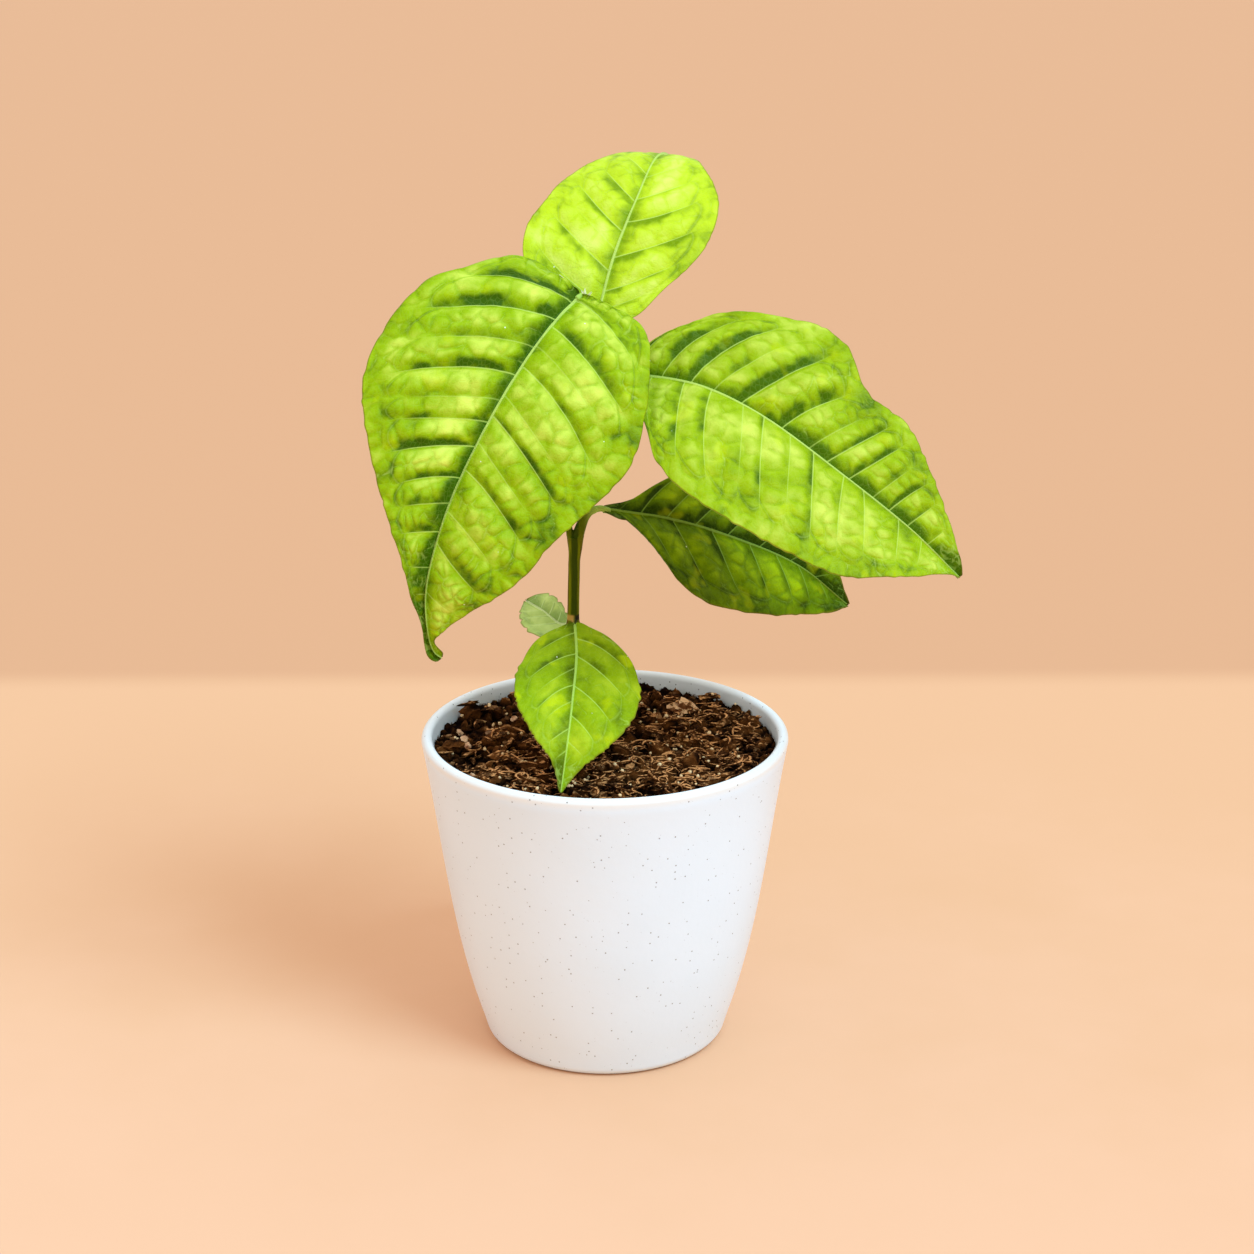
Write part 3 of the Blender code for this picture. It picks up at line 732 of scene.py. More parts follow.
# Painted highlight: the stem's sides, as seen from the front, are drawn olive, with streaks breaking its
# edge.
side = (abs(from_axis) + (streaks - 0.5) * 0.8).rise(0.35, 0.85)
bark_colour = bark.blend(side * (1 - height.rise(140.0, 146.0) * 0.6), BARK_DARK, BARK_OLIVE_HIGHLIGHT)
reddish = (abs(from_axis) + (streaks - 0.5) * 0.6).rise(0.80, 1.02)
bark_colour = bark.blend(reddish * height.rise(146.0, 139.0) * 0.7, bark_colour, BARK_RED)
node_scar = abs(height - (STEM_NODE[2] + SCAR_RISE)).rise(1.1, 0.4)
bark_colour = bark.blend(node_scar * from_axis.rise(0.3, -0.3), bark_colour, BARK_SCAR)
bark_colour = bark.blend(node_scar * from_axis.rise(0.1, 0.4), bark_colour, BARK_BLACK)
young = (height + (streaks - 0.5) * 10).rise(150.0, 190.0)
young = young.larger(stem_x.rise(-6.0, -2.0) * height.rise(144.0, 149.0) * 0.8)
bark_colour = bark.blend(young, bark_colour, BARK_YOUNG)
bark.set("Base Color", bark_colour)
bark.set("Roughness", 0.38 + streaks * 0.22)
bark.relief(streaks + bark.cloud(bark_place, 2200.0, 2.0) * 0.3, 0.12)
stem = add_piece("stem_and_stalks", mesh_from(bm, "stem_and_stalks"), bark)
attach(stem, "root")
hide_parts("stem", "leader", "side_shoot")


# Bud. The growing tip between the top leaves: a cluster of tiny cream scales that overlap like
# a bulb's, with one thin pale bract standing beside them.
BUD_SEAT = (-5.0, 0.0, 207.2)
BUD_SCALES = (                     # lean east, lean north, length, radius, offset east, offset north
    (0.05, 0.10, 3.2, 0.62, 0.0, 0.2), (0.55, -0.15, 2.6, 0.50, 0.5, -0.2),
    (-0.60, 0.05, 2.7, 0.48, -0.5, 0.0), (0.15, -0.65, 2.3, 0.46, 0.1, -0.5),
    (-0.25, 0.55, 2.4, 0.45, -0.2, 0.5), (0.75, 0.40, 2.0, 0.40, 0.6, 0.3),
)
BRACT_PATH = ((-6.5, -1.5, 208.2), (-8.4, -2.6, 211.0), (-9.6, -3.2, 213.2), (-11.4, -3.6, 214.8))
BUD_CREAM = (0.80, 0.76, 0.42)
BUD_GREEN = (0.46, 0.62, 0.14)
BUD_ORANGE = (0.78, 0.50, 0.10)

bm = bmesh.new()
for east, north, length, radius, off_x, off_y in BUD_SCALES:
    scale = bmesh.ops.create_uvsphere(bm, u_segments=14, v_segments=12, radius=1)["verts"]
    for vert in scale:
        height = (vert.co.z + 1) / 2
        narrow = 1 - 0.75 * height ** 2
        spread = length * height
        vert.co = Vector((
            BUD_SEAT[0] + off_x + vert.co.x * radius * narrow + east * spread * height,
            BUD_SEAT[1] + off_y + vert.co.y * radius * narrow + north * spread * height,
            BUD_SEAT[2] + spread)) * MM
add_limb(bm, smooth_path(BRACT_PATH, 16), 0.24 * (1 - 0.75 * np.linspace(0, 1, 16)), 10)
bmesh.ops.remove_doubles(bm, verts=bm.verts, dist=0.002 * MM)
bmesh.ops.recalc_face_normals(bm, faces=bm.faces)
bud_finish = Finish("bud_cream", 0.42, 0.2)
bud_place = bud_finish.place()
bud_height = (bud_place.parts()[2] / MM).rise(BUD_SEAT[2], BUD_SEAT[2] + 2.6)
bud_cloud = bud_finish.cloud(bud_place, 900.0, 3.0)
bud_colour = bud_finish.blend(bud_height, BUD_GREEN, BUD_CREAM)
bud_finish.set("Base Color", bud_finish.blend(bud_cloud.rise(0.55, 0.75) * 0.6, bud_colour, BUD_ORANGE))
bud_finish.relief(bud_cloud, 0.08)
bud = add_piece("bud_scales", mesh_from(bm, "bud_scales"), bud_finish)
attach(bud, "root")
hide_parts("bud")


# Left leaf. The largest blade, hanging to the left: thin, soft and strongly quilted between its
# side veins, which run out to arches near the margin. It grows from the tip on a short stalk.
ARCH_START, ARCH_RISE = 0.70, 0.13           # share of the half blade where side veins arch over
FINE_CELL = 1.25                             # width of the smallest meshes of the vein net
PAD_HEIGHT = 0.27                            # rise of the pads between side veins, by their width
PAD_WIDEST = 11.0
PAD_FALL = 6.0                               # width of the slope from the pads down to the midrib
PAD_SUNK = 0.6                               # share of a pad's height that lies under the sheet
GROOVE_DEPTH, GROOVE_WIDTH = 0.30, 1.3       # groove along the arches
MESH_WIDTH = 5.2                             # width of the puckered meshes between side veins
NARROW_PAD = 8.6                             # pads narrower than this hold one row of meshes
MESH_MARGIN = 0.86                           # share of the half blade past which meshes are small
MESH_SLOPE = 1.5
RIB_WIDTH, RIB_THINNING = 0.42, 0.24         # the midrib's half width and how much of it is lost
RIB_RISE, KEEL_DEPTH = 0.40, 0.75            # the midrib over and under the blade, at its foot
WAVES = (31.0, 19.0, 12.0)                   # lengths of the slow waves toward the margin
EDGE_BROWN = (0.20, 0.14, 0.01)
FLECK_CREAM = (0.85, 0.88, 0.62)
VEIN_PALE = (0.60, 0.74, 0.14)


def steady(x, knots, values):
    """A smooth rise through the knots that never turns back."""
    knots, values = np.array(knots, float), np.array(values, float)
    step = np.diff(knots)
    slope = np.diff(values) / step
    both = slope[:-1] * slope[1:]
    inner = np.where(both > 0, 2 * both / np.where(both > 0, slope[:-1] + slope[1:], 1), 0)
    tangent = np.concatenate([slope[:1], inner, slope[-1:]])
    k = np.clip(np.searchsorted(knots, x) - 1, 0, len(step) - 1)
    t = (x - knots[k]) / step[k]
    return ((1 + 2 * t) * (1 - t) ** 2 * values[k] + t * (1 - t) ** 2 * step[k] * tangent[k]
            + t * t * (3 - 2 * t) * values[k + 1] + t * t * (t - 1) * step[k] * tangent[k + 1])


class Blade:
    """The curved sheet of one leaf: places on it are given along the midrib and out from it."""

    def __init__(self, midrib, face, fold, droop):
        self.line = smooth_path(midrib, 160)
        self.run = np.concatenate([[0], np.cumsum(np.linalg.norm(np.diff(self.line, axis=0), axis=1))])
        self.length = self.run[-1]
        ahead = np.gradient(self.line, self.run, axis=0)
        self.ahead = ahead / np.linalg.norm(ahead, axis=1)[:, None]
        share = (self.run / self.length)[:, None]
        looks = np.array(face[0]) * (1 - share) + np.array(face[1]) * share
        looks = looks - (looks * self.ahead).sum(axis=1)[:, None] * self.ahead
        self.face = looks / np.linalg.norm(looks, axis=1)[:, None]
        self.side = np.cross(self.ahead, self.face)
        self.fold = fold
        self.droop = droop / 30 ** 2

    def read(self, table, along):
        return np.stack([np.interp(along, self.run, table[:, k]) for k in range(3)], axis=-1)

    def place(self, along, out, lift):
        base = self.read(self.line, along)
        base = base + np.minimum(along, 0)[..., None] * self.ahead[0]
        base = base + np.maximum(along - self.length, 0)[..., None] * self.ahead[-1]
        fold = np.radians(np.interp(along, (0, self.length), self.fold))
        rise = abs(out) * np.sin(fold) - self.droop * out * out + lift
        across = out * np.cos(fold)
        return base + across[..., None] * self.read(self.side, along) + rise[..., None] * self.read(
            self.face, along)


class HalfBlade:
    """One half of a blade, laid out so that whole numbers of rank fall on its side veins."""

    def __init__(self, length, outline, veins, tooth, teeth):
        self.edge, self.tooth, self.teeth = smooth_path(outline, 400), tooth, teeth
        self.starts = [0.0] + [v[0] for v in veins] + [length]
        self.ends = [0.0] + [v[1] for v in veins] + [1.0]
        self.bows = [veins[0][2] * 0.5] + [v[2] for v in veins] + [0.0]
        self.strengths = [0.0] + [v[3] for v in veins] + [0.0]

    def lay(self, start, reach):
        """Along, out, rank and width for starts on the midrib and shares of the way out."""
        rank = steady(start, self.starts, range(len(self.starts)))
        share = steady(start, self.starts, self.ends)
        bow = steady(start, self.starts, self.bows)
        fine = np.linspace(0, 1, len(self.edge))
        margin = np.interp(share, fine, self.edge[:, 0])
        width = np.interp(share, fine, self.edge[:, 1])
        wobble = np.cos(math.tau * self.teeth * (rank + 0.18 * np.sin(rank * 5.1)))
        tooth = 1 + self.tooth / np.maximum(width, 4) * wobble * reach ** 8
        along = start + (margin - start) * (reach + bow * reach * (reach - 1))
        return along, width * reach * tooth, rank, width


def grow_leaf(name, blade, outlines, veins, tooth, teeth, grid, quilt, seed, skin, thickness=0.46,
              wave=0.6):
    """A closed blade: a flat slab of a grid, bent to the blade's sheet and quilted by its veins.

    The quilt gives the heights of the pads in each half and of the meshes, and skin is what
    leaf_finish is given after the length.
    """
    halves = [HalfBlade(blade.length, *sides, tooth, teeth) for sides in zip(outlines, veins)]
    rows, columns = grid
    length = blade.length
    roll = np.random.default_rng(seed)
    starts = np.linspace(0, length, 3000)
    pace = starts / length * 0.3 + sum(steady(starts, h.starts, h.ends) for h in halves) * 0.35
    start = np.interp(np.linspace(0, pace[-1], rows + 1), pace, starts)[:, None]
    across = np.linspace(-1, 1, columns + 1)[None, :]
    reach = abs(across)
    fields = {}
    for half, here in ((halves[0], across >= 0), (halves[1], across < 0)):
        along, out, rank, width = half.lay(start, reach)
        down, right = np.gradient(along), np.gradient(out)
        area = abs(down[0] * right[1] - down[1] * right[0])
        pitch = area / np.maximum(np.hypot(down[1], right[1]), 1e-6) / np.maximum(
            abs(np.gradient(rank, axis=0)), 1e-6)
        pad = np.ones_like(along)
        strength = np.zeros_like(along)
        ends = 0.2 + 0.8 * np.clip((0.98 - reach) / 0.3, 0, 1)
        for number, firm in enumerate(half.strengths):
            inward = np.clip(1 - abs(rank - number) * 2, 0, 1)
            pad = np.minimum(pad, 1 - firm ** 1.6 * ends * (1 - np.cos(inward * math.pi / 2)))
            strength = np.where(abs(rank - number) <= 0.5, firm, strength)
        inward = np.clip(1 - abs(out) / PAD_FALL, 0, 1)
        pad *= 1 - 0.85 * (1 - np.cos(inward * math.pi / 2))
        arch = ARCH_START + ARCH_RISE * np.sin((rank % 1) * 2.3 + 0.2)
        pad = (pad - PAD_SUNK) * np.minimum(pitch, PAD_WIDEST) * PAD_HEIGHT
        pad -= GROOVE_DEPTH * strength * np.exp(-abs(reach - arch) * width / GROOVE_WIDTH)
        seeds = []
        for number in range(len(half.strengths) - 1):
            gap = half.starts[number + 1] - half.starts[number]
            for share in (0.5,) if 0 < gap < NARROW_PAD else (0.28, 0.74):
                steps = max(int(half.edge[:, 1].max() / MESH_WIDTH), 2)
                spots = (np.arange(steps) + roll.uniform(0.12, 0.88, steps)) / steps * MESH_MARGIN
                spots = np.concatenate([spots, roll.uniform(MESH_MARGIN, 1.02, 2)])
                ranks = number + share + roll.uniform(-0.16, 0.16, steps + 2)
                ranks[-2:] += (-0.2, 0.2)
                at = np.interp(ranks, steady(starts, half.starts, range(len(half.starts))), starts)
                seeds.append(np.stack(half.lay(at, spots)[:2], axis=1))
        seeds = np.concatenate(seeds)
        cell = np.zeros_like(along)
        for row in range(rows + 1):
            east = along[row] + 0.35 * np.sin(out[row] * 0.9) + 0.12 * np.sin(out[row] * 2.1 + along[row])
            north = out[row] + 0.35 * np.sin(along[row] * 1.0) + 0.12 * np.sin(along[row] * 2.3)
            away = np.hypot(east[:, None] - seeds[:, 0], north[:, None] - seeds[:, 1])
            nearest = np.partition(away, 1, axis=1)
            cell[row] = (nearest[:, 1] - nearest[:, 0]) / 2
        cell += 1.6 * strength * np.exp(-abs(rank - np.rint(rank)) * pitch / 0.9)
        sign = 1 if half is halves[0] else -1
        for key, field in (("along", along), ("out", sign * out), ("width", width), ("rank", rank),
                           ("pitch", pitch), ("pad", pad), ("cell", cell), ("strength", strength)):
            fields[key] = np.where(here, field, fields.get(key, 0))
    along, out, cell = fields["along"], fields["out"], fields["cell"]
    reach = np.broadcast_to(reach, along.shape)
    share = np.clip(along / length, 0, 1)
    rim = 1 - 0.6 * reach ** 6
    relief = np.where(across >= 0, quilt[0], quilt[1]) * fields["pad"] * rim
    pucker = (1 - np.exp(-cell / MESH_SLOPE)) * np.clip(abs(out) / 1.6, 0, 1)
    relief += quilt[2] * pucker * (0.4 + 0.55 * reach) * rim
    for size in WAVES:
        turn, shift = roll.uniform(0, math.tau, 2)
        relief = relief + wave * size / WAVES[0] * np.sin(
            (along * math.cos(turn) + out * math.sin(turn)) * math.tau / size + shift) * reach
    rib_width = RIB_WIDTH - RIB_THINNING * share
    relief += RIB_RISE * (1 - 0.6 * share) * np.exp(-(out / rib_width) ** 2)
    below = relief - thickness * (1 - 0.55 * reach ** 8)
    below -= KEEL_DEPTH * (1 - 0.8 * share) * np.exp(-(out / (rib_width + 0.4)) ** 2)

    bm = bmesh.new()
    bmesh.ops.create_grid(bm, x_segments=columns, y_segments=rows, size=0.5)
    bmesh.ops.solidify(bm, geom=bm.faces, thickness=0.01)
    bmesh.ops.recalc_face_normals(bm, faces=bm.faces)
    mesh = mesh_from(bm, name)
    flat = np.zeros(len(mesh.vertices) * 3)
    mesh.vertices.foreach_get("co", flat)
    flat = flat.reshape(-1, 3)
    row = np.rint((flat[:, 1] + 0.5) * rows).astype(int)
    column = np.rint((flat[:, 0] + 0.5) * columns).astype(int)
    upper = flat[:, 2] > flat[:, 2].mean()
    lift = np.where(upper, relief[row, column], below[row, column])
    placed = blade.place(along[row, column], out[row, column], lift) * MM
    mesh.vertices.foreach_set("co", placed.ravel())
    kept = {
        "sheet": (along, out, fields["width"]),
        "veins": (fields["rank"], reach, fields["pitch"]),
        "folds": (cell, fields["strength"]),
    }
    for key, parts in kept.items():
        values = [part[row, column] for part in parts]
        values = np.stack(values + [~upper] * (3 - len(values)), axis=1)
        layer = mesh.attributes.new(key, "FLOAT_VECTOR", "POINT")
        layer.data.foreach_set("vector", values.ravel().astype(np.float32))
    mesh.update()
    piece = add_piece(name + "_blade", mesh, leaf_finish(name + "_green", length, *skin))
    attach(piece, "root")
    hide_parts(name)


def leaf_finish(name, length, colours, yellowing, depth, shaded=1, shine=0.42, gloss=0.06):
    """A leaf's skin: mottled green with painted shade in its folds, beside its veins and by its midrib, with
    pale veins and a net of fine ones.
    """
    deep, green, bright, yellow, vein, under = colours
    finish = Finish(name, shine, gloss)
    sheet = finish.read("sheet")
    along, out, width = sheet.parts()
    rank, reach, pitch = finish.read("veins").parts()
    cell, strength, below = finish.read("folds").parts()
    share = along / length
    wide = finish.cloud(sheet, 0.085, 3.0, 0.55)
    close = finish.cloud(sheet, 0.33, 3.0, 0.6)
    arch = ARCH_START + ARCH_RISE * (rank.fraction() * 2.3 + 0.2).sine()
    from_arch = abs(reach - arch) * width
    to_vein = rank.to_whole()
    inside = (reach - strength * 0.35).rise(0.55, 0.20)
    past = rank.fraction()
    # Painted shade: each pad is drawn darker toward the next vein and just past its own, in the arch grooves,
    # along the midrib and at the borders of its meshes, more on the half given by shaded; the blade is also
    # drawn darker toward its margin.
    shade = (out * shaded).rise(-0.1, 0.1)
    patchy = 0.62 + finish.cloud(sheet, 0.12, 2.0, 0.5).rise(0.36, 0.58) * 0.80
    dark = (past.rise(0.50, 0.98) + past.rise(0.14, 0.0) * 0.35) * strength ** 1.6 * inside * patchy * (
        0.55 + 0.45 * shade)
    dark = dark.larger(from_arch.rise(1.2, 0.0) * strength * 0.3)
    dark = dark.larger(abs(out).rise(5.5, 0.3) * (0.35 + 0.65 * shade))
    dark = dark + cell.rise(0.9, 0.0) * (0.17 + 0.06 * reach * reach) + reach.rise(0.45, 1.0) * 0.34
    level = 0.66 + (wide - 0.5) * 1.2 + (close - 0.5) * 0.30 - dark * depth
    # The deep colour is reached where the painted shade is strongest. The bright colour is reached where
    # random mottling is high and painted shade low, and stands partly for a painted highlight on the pads.
    colour = finish.blend(level.rise(-0.05, 0.52), deep, green)
    colour = finish.blend(level.rise(0.42, 0.95), colour, bright)
    spots = finish.cloud(sheet, 0.13, 2.0, 0.5).rise(0.62 - 0.06 * yellowing, 0.74 - 0.06 * yellowing)
    colour = finish.blend(spots * (0.10 + 0.5 * yellowing), colour, yellow)
    net = finish.cells(sheet, 1 / FINE_CELL, "DISTANCE_TO_EDGE")
    side_line = (to_vein * pitch - (0.17 - 0.12 * reach)).rise(0.09, -0.07) * strength * inside
    middle_line = (abs(out) - (0.36 - share * 0.22)).rise(0.11, -0.09)
    colour = finish.blend(net.rise(0.10, 0.02) * 0.06, colour, vein)
    colour = finish.blend(cell.rise(0.20, 0.04) * (0.22 + 0.10 * reach), colour, vein)
    colour = finish.blend(from_arch.rise(0.26, 0.08) * strength * 0.15, colour, vein)
    colour = finish.blend(side_line * 0.60, colour, vein)
    colour = finish.blend(middle_line * 0.9, colour, vein)
    colour = finish.blend(((1 - reach) * width).rise(0.38, 0.10) * 0.5, colour, EDGE_BROWN)
    white = finish.cells(sheet, 0.16)
    fleck = white.rise(0.045, 0.028) * white.other(1).parts()[0].rise(0.55, 0.6) * (1 - below)
    colour = finish.blend(fleck, colour, FLECK_CREAM)
    colour = finish.blend(below * 0.75, colour, under)
    finish.set("Base Color", colour)
    finish.set("Roughness", shine + (close - 0.5) * 0.2 + below * 0.2)
    finish.relief(net.rise(0.0, 0.25) * 0.3 + cell.rise(0.0, 0.7) * 0.5 + close * 0.3, 0.14)
    return finish


LEFT_MIDRIB = ((-6, -4, 209.5), (-13, -14, 204.5), (-25, -27, 189.5), (-39, -38, 163.5),
               (-45, -42, 142.5), (-44.9, -41.8, 131.5), (-44.0, -41.2, 126.8),
               (-43.0, -40.7, 124.8), (-41.3, -40.2, 123.4))
LEFT_FACE = ((0.05, -0.72, 0.7), (0, -0.95, 0.2))
LEFT_OUTLINES = (
    ((0, 1), (-0.3, 7), (0.8, 14.5), (5, 21), (12, 26.5), (21, 33.3), (30, 35.7), (43, 35.8),
     (52, 33), (62, 25.4), (73, 15.9), (85, 7), (95, 2.6), (101, 1.3), (105, 1.5), (108, 1.9),
     (109.9, 1.5), (110.8, 0.3)),
    ((0, 1), (-0.7, 12.7), (2, 21.2), (11, 28.7), (24, 35.2), (38, 38.3), (53, 34.7), (68, 28.8),
     (81, 24), (94, 13.8), (101, 5.2), (104.5, 1.4), (108, 1.8), (109.9, 1.5), (110.8, 0.3)))
LEFT_VEINS = (                     # start on the midrib, end on the margin, bow, strength
    ((3.4, .28, .35, .9), (11, .375, .2, 1), (21.5, .44, .23, .6), (30.5, .50, .4, 1),
     (38.3, .535, .1, .5), (44.8, .57, .19, .8), (51.8, .625, .24, 1), (60.6, .68, .45, .9),
     (67.5, .71, .1, .7), (75.2, .755, .23, .9), (84.7, .809, 0, .7), (92, .855, 0, .5)),
    ((2.1, .29, .6, .9), (13.6, .37, .33, 1), (21, .43, .3, .4), (27.7, .49, .5, 1),
     (36.7, .535, .1, .5), (42.8, .58, .31, 1), (50.5, .63, .1, .6), (58.2, .69, .6, 1),
     (69.6, .76, .45, .7), (78, .81, -.1, .9), (91, .875, -.3, .6)))

LEFT_COLOURS = ((0.045, 0.110, 0.0), (0.315, 0.47, 0.001), (0.74, 0.82, 0.10), (0.66, 0.74, 0.0),
                VEIN_PALE, (0.34, 0.52, 0.12))        # deep, green, bright, yellow, veins, underside

grow_leaf("leaf_left", Blade(LEFT_MIDRIB, LEFT_FACE, fold=(16, 16), droop=6.0),
          LEFT_OUTLINES, LEFT_VEINS, tooth=0.16, teeth=1, grid=(262, 162), quilt=(1.0, 0.85, 1.6), seed=1,
          skin=(LEFT_COLOURS, 0.3, 0.7128))


# Top leaf. The youngest and brightest blade, arching up and back over the tip; it is almost
# smooth, with fine side veins sunk in shallow green grooves.
TOP_MIDRIB = ((-2, 3, 201), (2.5, 12, 216), (9, 25, 230), (14, 40, 237.4), (18, 54, 235.6),
              (21, 66, 227.5))
TOP_FACE = ((0, -0.85, 0.5), (0.1, 0.35, 1))
TOP_OUTLINES = (
    ((0, 1), (3, 9.5), (12, 15.3), (22, 20.3), (31, 22.3), (42, 21.3), (50, 17.8), (57, 13.2),
     (65, 9), (75, 4.5), (85, 0.5)),
    ((0, 1), (1, 9), (5, 17), (12, 22.8), (20, 24.8), (30, 23), (38, 21.6), (45, 19), (52, 15),
     (61, 10.5), (74, 4.5), (85, 0.5)))
TOP_VEINS = (
    ((3.2, .24, .4, .7), (8.6, .36, .5, .9), (18.4, .465, .37, 1), (29.5, .57, .6, 1),
     (37.2, .645, .55, .8), (45.9, .715, .5, .7), (55, .79, .3, .6), (66, .87, .2, .5)),
    ((5.1, .33, .46, 1), (14.2, .41, .15, 1), (20.5, .475, .2, .4), (26.3, .55, .5, 1),
     (36.4, .65, .45, .9), (47.2, .735, .2, .8), (57, .81, .2, .6), (67, .88, .1, .5)))

TOP_COLOURS = ((0.19, 0.30, 0.0), (0.55, 0.70, 0.014), (0.78, 0.86, 0.14), (0.66, 0.82, 0.0),
               VEIN_PALE, (0.38, 0.56, 0.12))

grow_leaf("leaf_top", Blade(TOP_MIDRIB, TOP_FACE, fold=(12, -8), droop=6.0),
          TOP_OUTLINES, TOP_VEINS, tooth=0.06, teeth=2, grid=(210, 130), quilt=(0.5, 0.5, 0.35), seed=2,
          skin=(TOP_COLOURS, 0.2, 0.6696, 0), wave=0.2)


# Right leaf. A broad bright blade on the right, nearly level at its foot and hanging at its tip,
# with raised pale veins, a puckered net between them and a wavy margin.
RIGHT_MIDRIB = ((2, -3.5, 188.5), (9.5, -8, 189.5), (24.5, -17, 189), (39.5, -25, 183.5),
                (60, -33, 170), (78, -39, 156.5), (89.5, -42, 145.5))
RIGHT_FACE = ((0, -0.65, 0.8), (0.1, -0.75, 0.65))
RIGHT_OUTLINES = (
    ((0, 1), (6, 6.5), (18.6, 17.2), (29, 27.7), (41, 31.6), (56, 31.4), (72, 28.5), (86, 24),
     (97.5, 14.1), (107, 2.2), (109.6, 0.5)),
    ((0, 1), (4, 4), (8.5, 8.4), (19, 19.7), (30, 27), (42, 31.8), (51, 29.8), (62, 22.4),
     (74, 21.9), (84, 16.8), (95, 10.1), (106, 3.2), (109.6, 0.5)))
RIGHT_VEINS = (
    ((4, .14, .4, .6), (12, .27, .5, .8), (21.8, .38, .5, 1), (29.7, .46, .5, 1),
     (39.2, .52, .1, .6), (45.5, .575, .26, 1), (53.6, .62, 0, .6), (61, .675, .05, 1),
     (70.7, .735, .35, .8), (76.9, .785, 0, .8), (88.2, .85, -.1, .8), (96, .90, 0, .6)),
    ((5, .20, .5, .7), (14.4, .33, .6, .9), (23.2, .395, .55, 1), (30, .435, .15, .6),
     (38, .485, 0, 1), (50.6, .58, .5, 1), (59.3, .63, .1, .6), (65, .675, .05, 1),
     (72, .72, -.1, .9), (79.7, .765, 0, .6), (85, .81, .4, .9), (91, .85, .1, .8),
     (98, .90, 0, .7)))

RIGHT_COLOURS = ((0.065, 0.138, 0.0), (0.335, 0.475, 0.002), (0.69, 0.755, 0.095), (0.62, 0.72, 0.0),
                 VEIN_PALE, (0.34, 0.52, 0.12))

grow_leaf("leaf_right", Blade(RIGHT_MIDRIB, RIGHT_FACE, fold=(14, 14), droop=6.0),
          RIGHT_OUTLINES, RIGHT_VEINS, tooth=0.2, teeth=1, grid=(252, 150), quilt=(0.4, 0.9, 1.2), seed=3,
          skin=(RIGHT_COLOURS, 0.45, 0.7128, -1))


# Lower right leaf. A darker blade under the right one, its colours painted dark as the shadow
# that the right leaf casts on it; it is drawn in to a winged stalk at its foot, with pale sunken
# veins and yellow patches between them.
LOWER_MIDRIB = ((0, 2, 150.5), (17.5, 8, 146), (34, 13, 139.5), (53, 18, 129.5), (67.5, 22, 116.5))
LOWER_FACE = ((-0.1, -0.65, 0.75), (-0.05, -0.75, 0.65))
LOWER_OUTLINES = (
    ((0, 1), (4, 3.3), (8, 3.5), (13, 10.4), (20, 20), (28, 23.5), (40, 22.5), (56, 18.3),
     (68, 11.5), (75, 5.8), (79.5, 0.5)),
    ((0, 1), (7, 3.6), (13, 6.8), (20, 13), (30, 20), (42, 21.5), (55, 17), (65, 10), (72, 5.1),
     (79.5, 0.5)))
LOWER_VEINS = (
    ((4, .18, .2, .3), (10.9, .34, .2, .7), (20.4, .47, .45, 1), (32.4, .59, .4, 1),
     (44.1, .70, .45, 1), (52.5, .79, .4, .9), (59.9, .865, .1, .8), (68, .94, 0, .6)),
    ((4, .20, .2, .3), (10.6, .36, .3, .9), (18.3, .45, .15, .9), (27, .55, .2, .9),
     (37, .64, .3, .9), (47, .73, .3, .8), (57, .82, .2, .7), (66, .90, .1, .6)))

# Painted shadow: all of this leaf's colours are darker, for the shadow that the right leaf casts on it.
LOWER_COLOURS_IN_PAINTED_SHADOW = ((0.024, 0.050, 0.0), (0.130, 0.215, 0.0), (0.36, 0.51, 0.002), (0.40, 0.46, 0.0),
                 (0.27, 0.42, 0.06), (0.20, 0.36, 0.08))

grow_leaf("leaf_lower_right", Blade(LOWER_MIDRIB, LOWER_FACE, fold=(12, 12), droop=6.0),
          LOWER_OUTLINES, LOWER_VEINS, tooth=0.14, teeth=1, grid=(190, 110), quilt=(0.55, 0.6, 0.45),
          seed=4, skin=(LOWER_COLOURS_IN_PAINTED_SHADOW, 0.6, 0.7128, -1, 0.42, 0.03), wave=0.4)


# Front leaf. A small broad first leaf that hangs over the soil in front of the stem, with a
# toothed margin, pale raised veins and yellow mottles.
FRONT_MIDRIB = ((-8, -3, 120), (-7.5, -11, 114), (-8.5, -24, 106), (-9.5, -32, 99.5),
                (-11.5, -40, 86.5))
FRONT_FACE = ((0, -0.35, 0.95), (0, -0.9, 0.3))
FRONT_OUTLINES = (
    ((0, 0.8), (1.5, 4.3), (6, 11.1), (13, 14.6), (21, 16.1), (29, 14.5), (36, 10.4), (44, 3.3),
     (51.1, 0.4)),
    ((0, 0.8), (1.5, 3.2), (6, 9.1), (13, 15.2), (22, 18.1), (31, 16.3), (38, 11.2), (45, 4),
     (51.1, 0.4)))
FRONT_VEINS = (
    ((2.9, .34, .5, .8), (9.6, .51, .7, 1), (14.3, .60, .3, .6), (20.2, .67, .6, 1),
     (25.6, .73, .4, .6), (34, .80, .1, .8), (40, .87, 0, .6)),
    ((4.8, .41, .5, 1), (10.3, .55, .25, 1), (20.4, .68, .3, 1), (30, .775, .2, .9),
     (37.6, .84, .15, .7)))

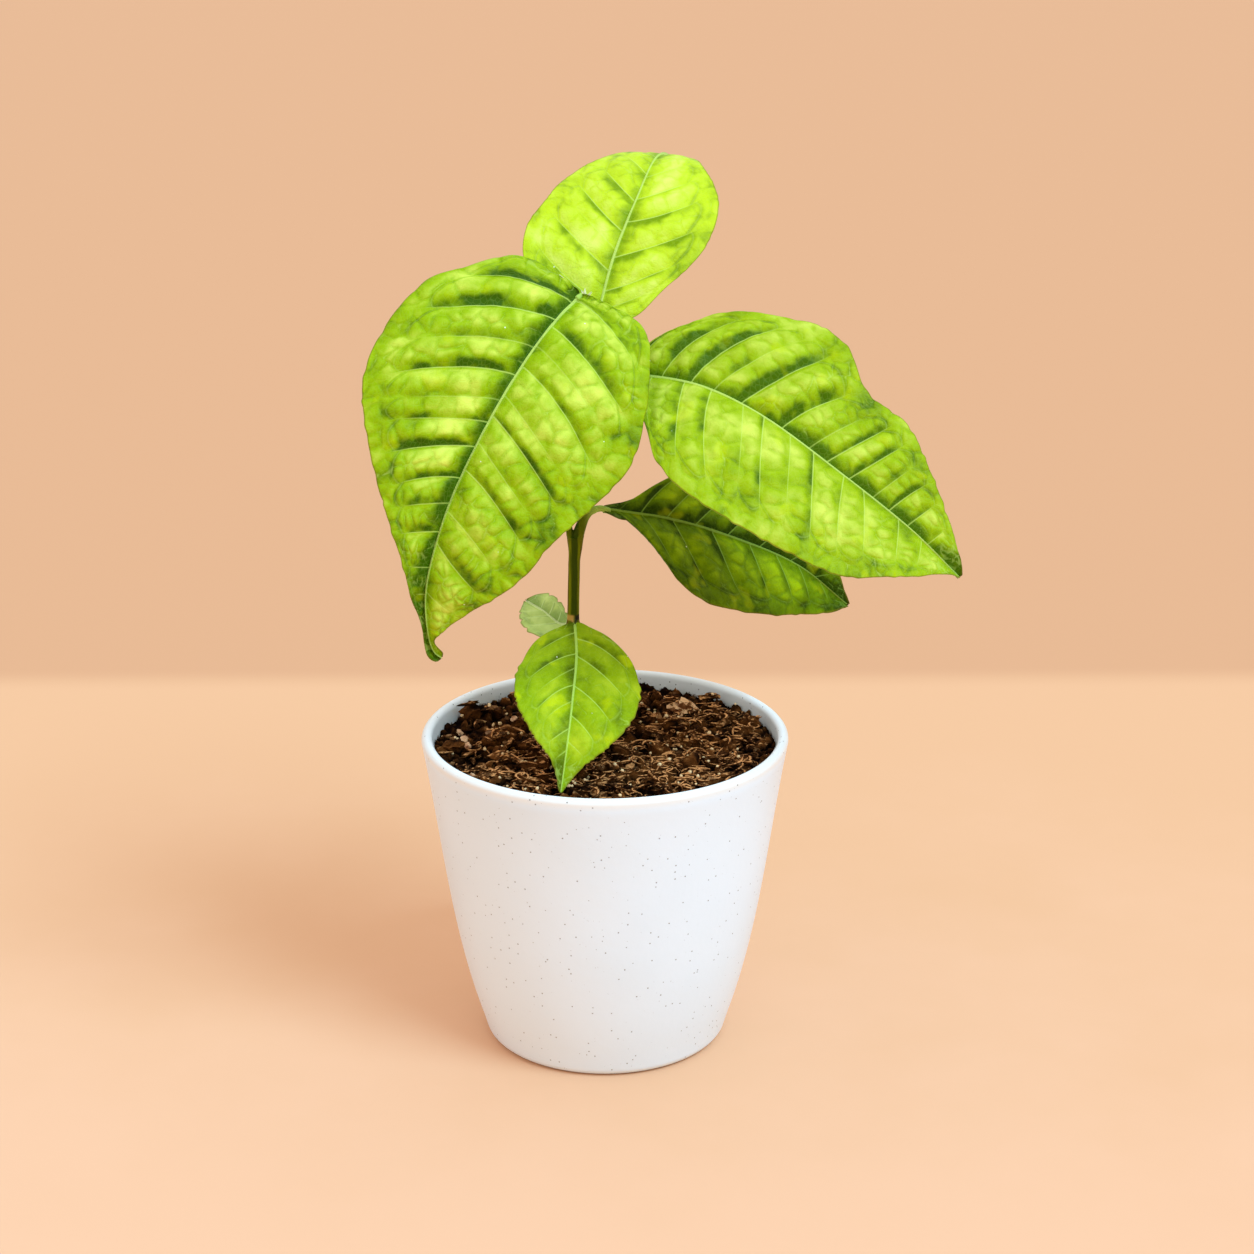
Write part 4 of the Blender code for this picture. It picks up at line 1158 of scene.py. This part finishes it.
FRONT_COLOURS = ((0.095, 0.155, 0.0), (0.30, 0.44, 0.002), (0.54, 0.66, 0.02), (0.62, 0.72, 0.0),
                 (0.58, 0.80, 0.14), (0.24, 0.40, 0.09))

grow_leaf("leaf_front", Blade(FRONT_MIDRIB, FRONT_FACE, fold=(12, 12), droop=9.0),
          FRONT_OUTLINES, FRONT_VEINS, tooth=0.22, teeth=2, grid=(150, 110), quilt=(0.35, 0.35, 0.12),
          seed=5, skin=(FRONT_COLOURS, 0.9, 0.54), thickness=0.4, wave=0.3)


# Back leaf. The front one's small partner behind the stem, paler and duller, with a lobed
# margin and shallow furrows along its veins; its pale colours are partly its own and partly a
# painted whitish sheen.
BACK_MIDRIB = ((-9.5, 3.2, 118), (-12, 8, 116.2), (-17, 17, 117), (-22, 26, 117))
BACK_FACE = ((0.1, -0.75, 0.65), (0.1, -0.6, 0.8))
BACK_OUTLINES = (
    ((0, 0.8), (3, 2), (9, 3.8), (16, 4.9), (22, 4.8), (25, 3), (26.4, 0.4)),
    ((0, 0.8), (3, 7.2), (9, 8.5), (14, 7.8), (21, 4.4), (26.4, 0.4)))
BACK_VEINS = (
    ((3, .25, .3, .8), (8, .45, .3, 1), (13, .62, .3, 1), (18, .78, .2, .8)),
    ((3, .38, .3, .8), (8, .52, .3, 1), (13, .66, .3, 1), (18, .78, .2, .8)))

# Painted sheen: these pale colours carry a whitish sheen as well as the leaf's own light green.
BACK_COLOURS_WITH_PAINTED_SHEEN = ((0.30, 0.42, 0.09), (0.58, 0.72, 0.19), (0.80, 0.90, 0.30), (0.72, 0.82, 0.20),
                (0.80, 0.92, 0.40), (0.42, 0.58, 0.18))

grow_leaf("leaf_back", Blade(BACK_MIDRIB, BACK_FACE, fold=(10, 10), droop=9.0),
          BACK_OUTLINES, BACK_VEINS, tooth=0.4, teeth=1, grid=(90, 64), quilt=(0.8, 0.8, 0.1), seed=6,
          skin=(BACK_COLOURS_WITH_PAINTED_SHEEN, 0.2, 0.81, 1, 0.6), thickness=0.4, wave=0.25)
